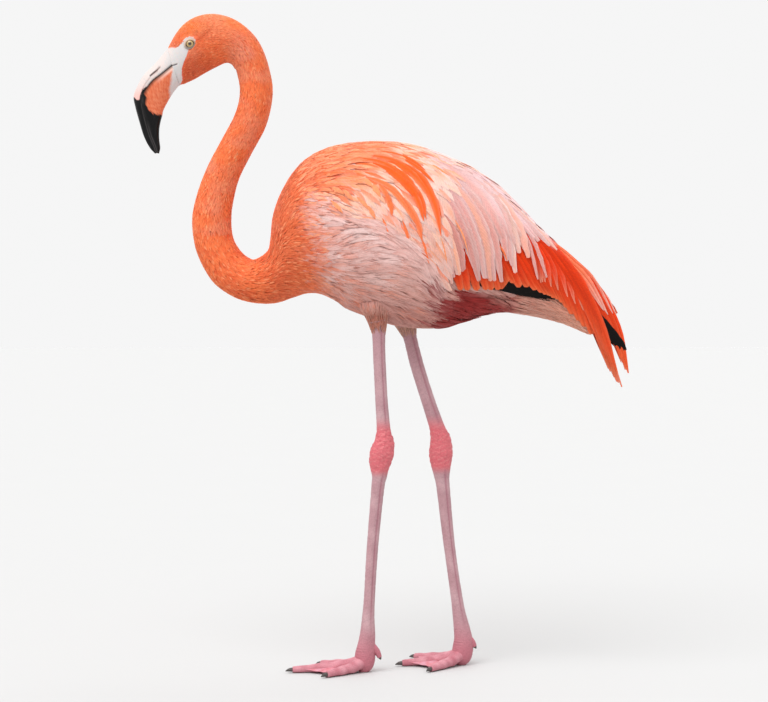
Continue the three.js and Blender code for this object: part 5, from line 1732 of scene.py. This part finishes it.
def grow_streaks():
    """Each streak is made up of slim feathers, one ahead of the other along its line."""
    kind = form(12, 7, 0.5, start=0.15, full=0.7, widest=0.5, late=0.7, point=0.06, root=0.6, lift=0.5,
                slant=0.4, camber=0.2, fray=0.35)
    for side, label in SIDES:
        dice = np.random.default_rng(17)
        heap = Heap()
        for line, width, count, colour in STREAKS:
            paint = painter(lambda p: mix(colour, ORANGE, 0.1 + 0 * p[..., 0]), dice, 0.06,
                            LIGHT_ORANGE, 0.15, 0.9, PEACH, 0.3)
            span = 0.58 if count > 1 else 1.0
            for number in range(count):
                first = 0.42 * number / max(count - 1, 1)
                path = through(line, (first + span * kind.shares) * (len(line) - 1))
                sideways = np.array([0.55, 0.8]) * dice.uniform(-0.22, 0.22) * width
                side_trail(heap, side, (path + sideways)[None], width * dice.uniform(0.75, 1.05, 1), kind,
                           paint, dice, level=0.6 + 0.3 * number, roll=side * 0.1)
        heap.piece("wing_streaks_" + label, PLUME, unwrapped=True)


def grow_tail():
    """A fan of vanes over the tail's core, and soft coverts over and under it that end in a frayed brush."""
    dice = np.random.default_rng(19)
    heap = Heap()
    stations = through(TAIL_STATIONS, np.linspace(0, len(TAIL_STATIONS) - 1, 60))
    sheet = Sheet(upright_rings(stations, 64), atlas=(0.82, 0.08))
    vane = form(14, 7, 0.6, widest=0.6, late=0.9, point=0.3, root=2.0, lift=-1.2, slant=0.5, camber=0.1,
                fray=0.25)
    angles = np.linspace(-96, 96, 13)
    rows = 4 + 48 * vane.shares[None] * (1 - 0.06 * (angles[:, None] / 90) ** 2)
    turns = (angles[:, None] / 360 + 0 * rows) % 1

    def vane_paint(path, share, _across):
        tints = mix(DUSTY, PINK, ease(share, 0.2, 1)) + 0 * path[:, :, None]
        return tints * jitter(dice, 0.07, len(path), 1, 1, 1)

    trail(heap, sheet, rows, turns, 17 * np.ones(len(angles)), vane, vane_paint, dice,
          level=-1.5 - 1.2 * np.abs(angles) / 90)
    lock = form(8, 3, 0.6, start=0.5, widest=0.4, late=0.6, point=0.08, root=2.5, lift=0.5, camber=0.0,
                fray=0.3, wave=0.12)
    rows, turns = staggered(sheet, 0, 40, 6, 2.6, dice)
    count = len(rows)
    length = np.interp(rows, [0, 46], [50, 30]) * dice.uniform(0.7, 1.1, count)

    def brush_paint(path, share, _across):
        x = path[:, :, 0]
        pale = mix(DUSTY, BRUSH, 0.6)
        ground = mix(mix(CRIMSON, DUSTY, ease(x, 205, 245)), pale, ease(x, 240, 330))
        tints = mix(ground[:, :, None], CREAM, 0.4 * share**2 * dice.random((len(path), 1, 1)))
        return tints * jitter(dice, 0.12, len(path), 1, 1, 1)

    heading = tilted(dice.normal(0, 0.1, count))
    grow(heap, sheet, rows, turns, heading, length, 2.8 * dice.uniform(0.8, 1.2, count), lock, brush_paint,
         dice, level=-0.6 + dice.uniform(-0.8, 0.8, count), roll=dice.normal(0, 0.2, count))
    heap.piece("tail_feathers", FEATHER, ["tail"], unwrapped=True)


def grow_cuffs():
    """Locks round the thighs down to where the bare legs come out."""
    dice = np.random.default_rng(23)
    heap = Heap()
    kind = form(6, 3, 0.6, widest=0.35, late=0.6, point=0.08, lift=0.6, camber=0.0, wave=0.15)

    def paint(path, share, across):
        # painted light: the near thigh's locks get the shaded cuff colour, the far thigh's the lit one
        far = (path[:, :, 1] > 0) * 0.7
        down = mix(SHADED_CUFF, LIT_CUFF, far)
        down = mix(coat_tint(path), down, ease(-path[:, :, 2], -606, -588))
        tints = mix(down[:, :, None] + 0 * across[..., None], CREAM, 0.25 * share**2)
        return tints * jitter(dice, 0.1, len(path), 1, 1, 1)

    for number, leg in enumerate(LEGS.values()):
        table = np.array(leg[: THIGH_END + 1], float)
        table[-1, 3] = CUFF_RADIUS
        sheet = Sheet(leg_rings(table, np.linspace(0.8, THIGH_END - 0.1, 44), 48),
                      atlas=(0.92 + 0.04 * number, 0.035))
        rows, turns = staggered(sheet, 0, sheet.rows - 9, 5.0, 2.6, dice)
        count = len(rows)
        heading = tilted(dice.normal(0, 0.12, count))
        grow(heap, sheet, rows, turns, heading, 21 * dice.uniform(0.75, 1.15, count),
             3.0 * dice.uniform(0.8, 1.2, count), kind, paint, dice, level=-1.6,
             roll=dice.normal(0, 0.2, count))
    heap.piece("coat_thighs", FEATHER, unwrapped=True)


grow_head_and_neck()
grow_breast()
grow_down()
grow_wings()
grow_streaks()
grow_flight()
grow_tail()
grow_cuffs()

# -------- camera, light and floor

# In metres, degrees and, for the lens, millimetres.
CAMERA = SimpleNamespace(place=(0.0062, -3.23904, 0.600), pitch=1.1535, lens=90, sensor=36)
LAMPS = (("key", (-0.8, -1.2, 2.0), 50, 2.0), ("rear", (0.9, 1.5, 1.6), 60, 0.7))  # place, angle, strength
DAYLIGHT = 0.92
FLOOR = SimpleNamespace(size=60, sunk=0.0005, colour=(0.58, 0.58, 0.578, 1))


def make_stage():
    camera = bpy.data.cameras.new("camera")
    camera.lens = CAMERA.lens
    camera.sensor_width = CAMERA.sensor
    holder = bpy.data.objects.new("camera", camera)
    holder.location = CAMERA.place
    holder.rotation_euler = (math.radians(90 - CAMERA.pitch), 0, 0)
    bpy.context.scene.collection.objects.link(holder)
    bpy.context.scene.camera = holder
    world = bpy.data.worlds.new("studio")
    world.use_nodes = True
    world.node_tree.nodes["Background"].inputs["Color"].default_value = (1, 1, 1, 1)
    world.node_tree.nodes["Background"].inputs["Strength"].default_value = DAYLIGHT
    bpy.context.scene.world = world
    bpy.context.scene.view_settings.view_transform = "Standard"
    for name, place, wide, strength in LAMPS:
        light = bpy.data.lights.new(name, "SUN")
        light.angle = math.radians(wide)
        light.energy = strength
        lamp = bpy.data.objects.new(name, light)
        lamp.location = place
        lamp.rotation_euler = (-Vector(place)).to_track_quat("-Z", "Y").to_euler()
        bpy.context.scene.collection.objects.link(lamp)
    bpy.ops.mesh.primitive_plane_add(size=FLOOR.size, location=(0, 0, -FLOOR.sunk))
    floor = bpy.context.object
    floor.name = "floor"
    nodes = Nodes("floor_pale")
    colour = nodes.shade(nodes.add("RGB"), nodes.noise(3.0), 0.99, 1.0)
    nodes.tree.nodes["RGB"].outputs[0].default_value = FLOOR.colour
    nodes.set(colour=colour, rough=0.9, specular=0.1)
    floor.data.materials.append(nodes.material)


make_stage()
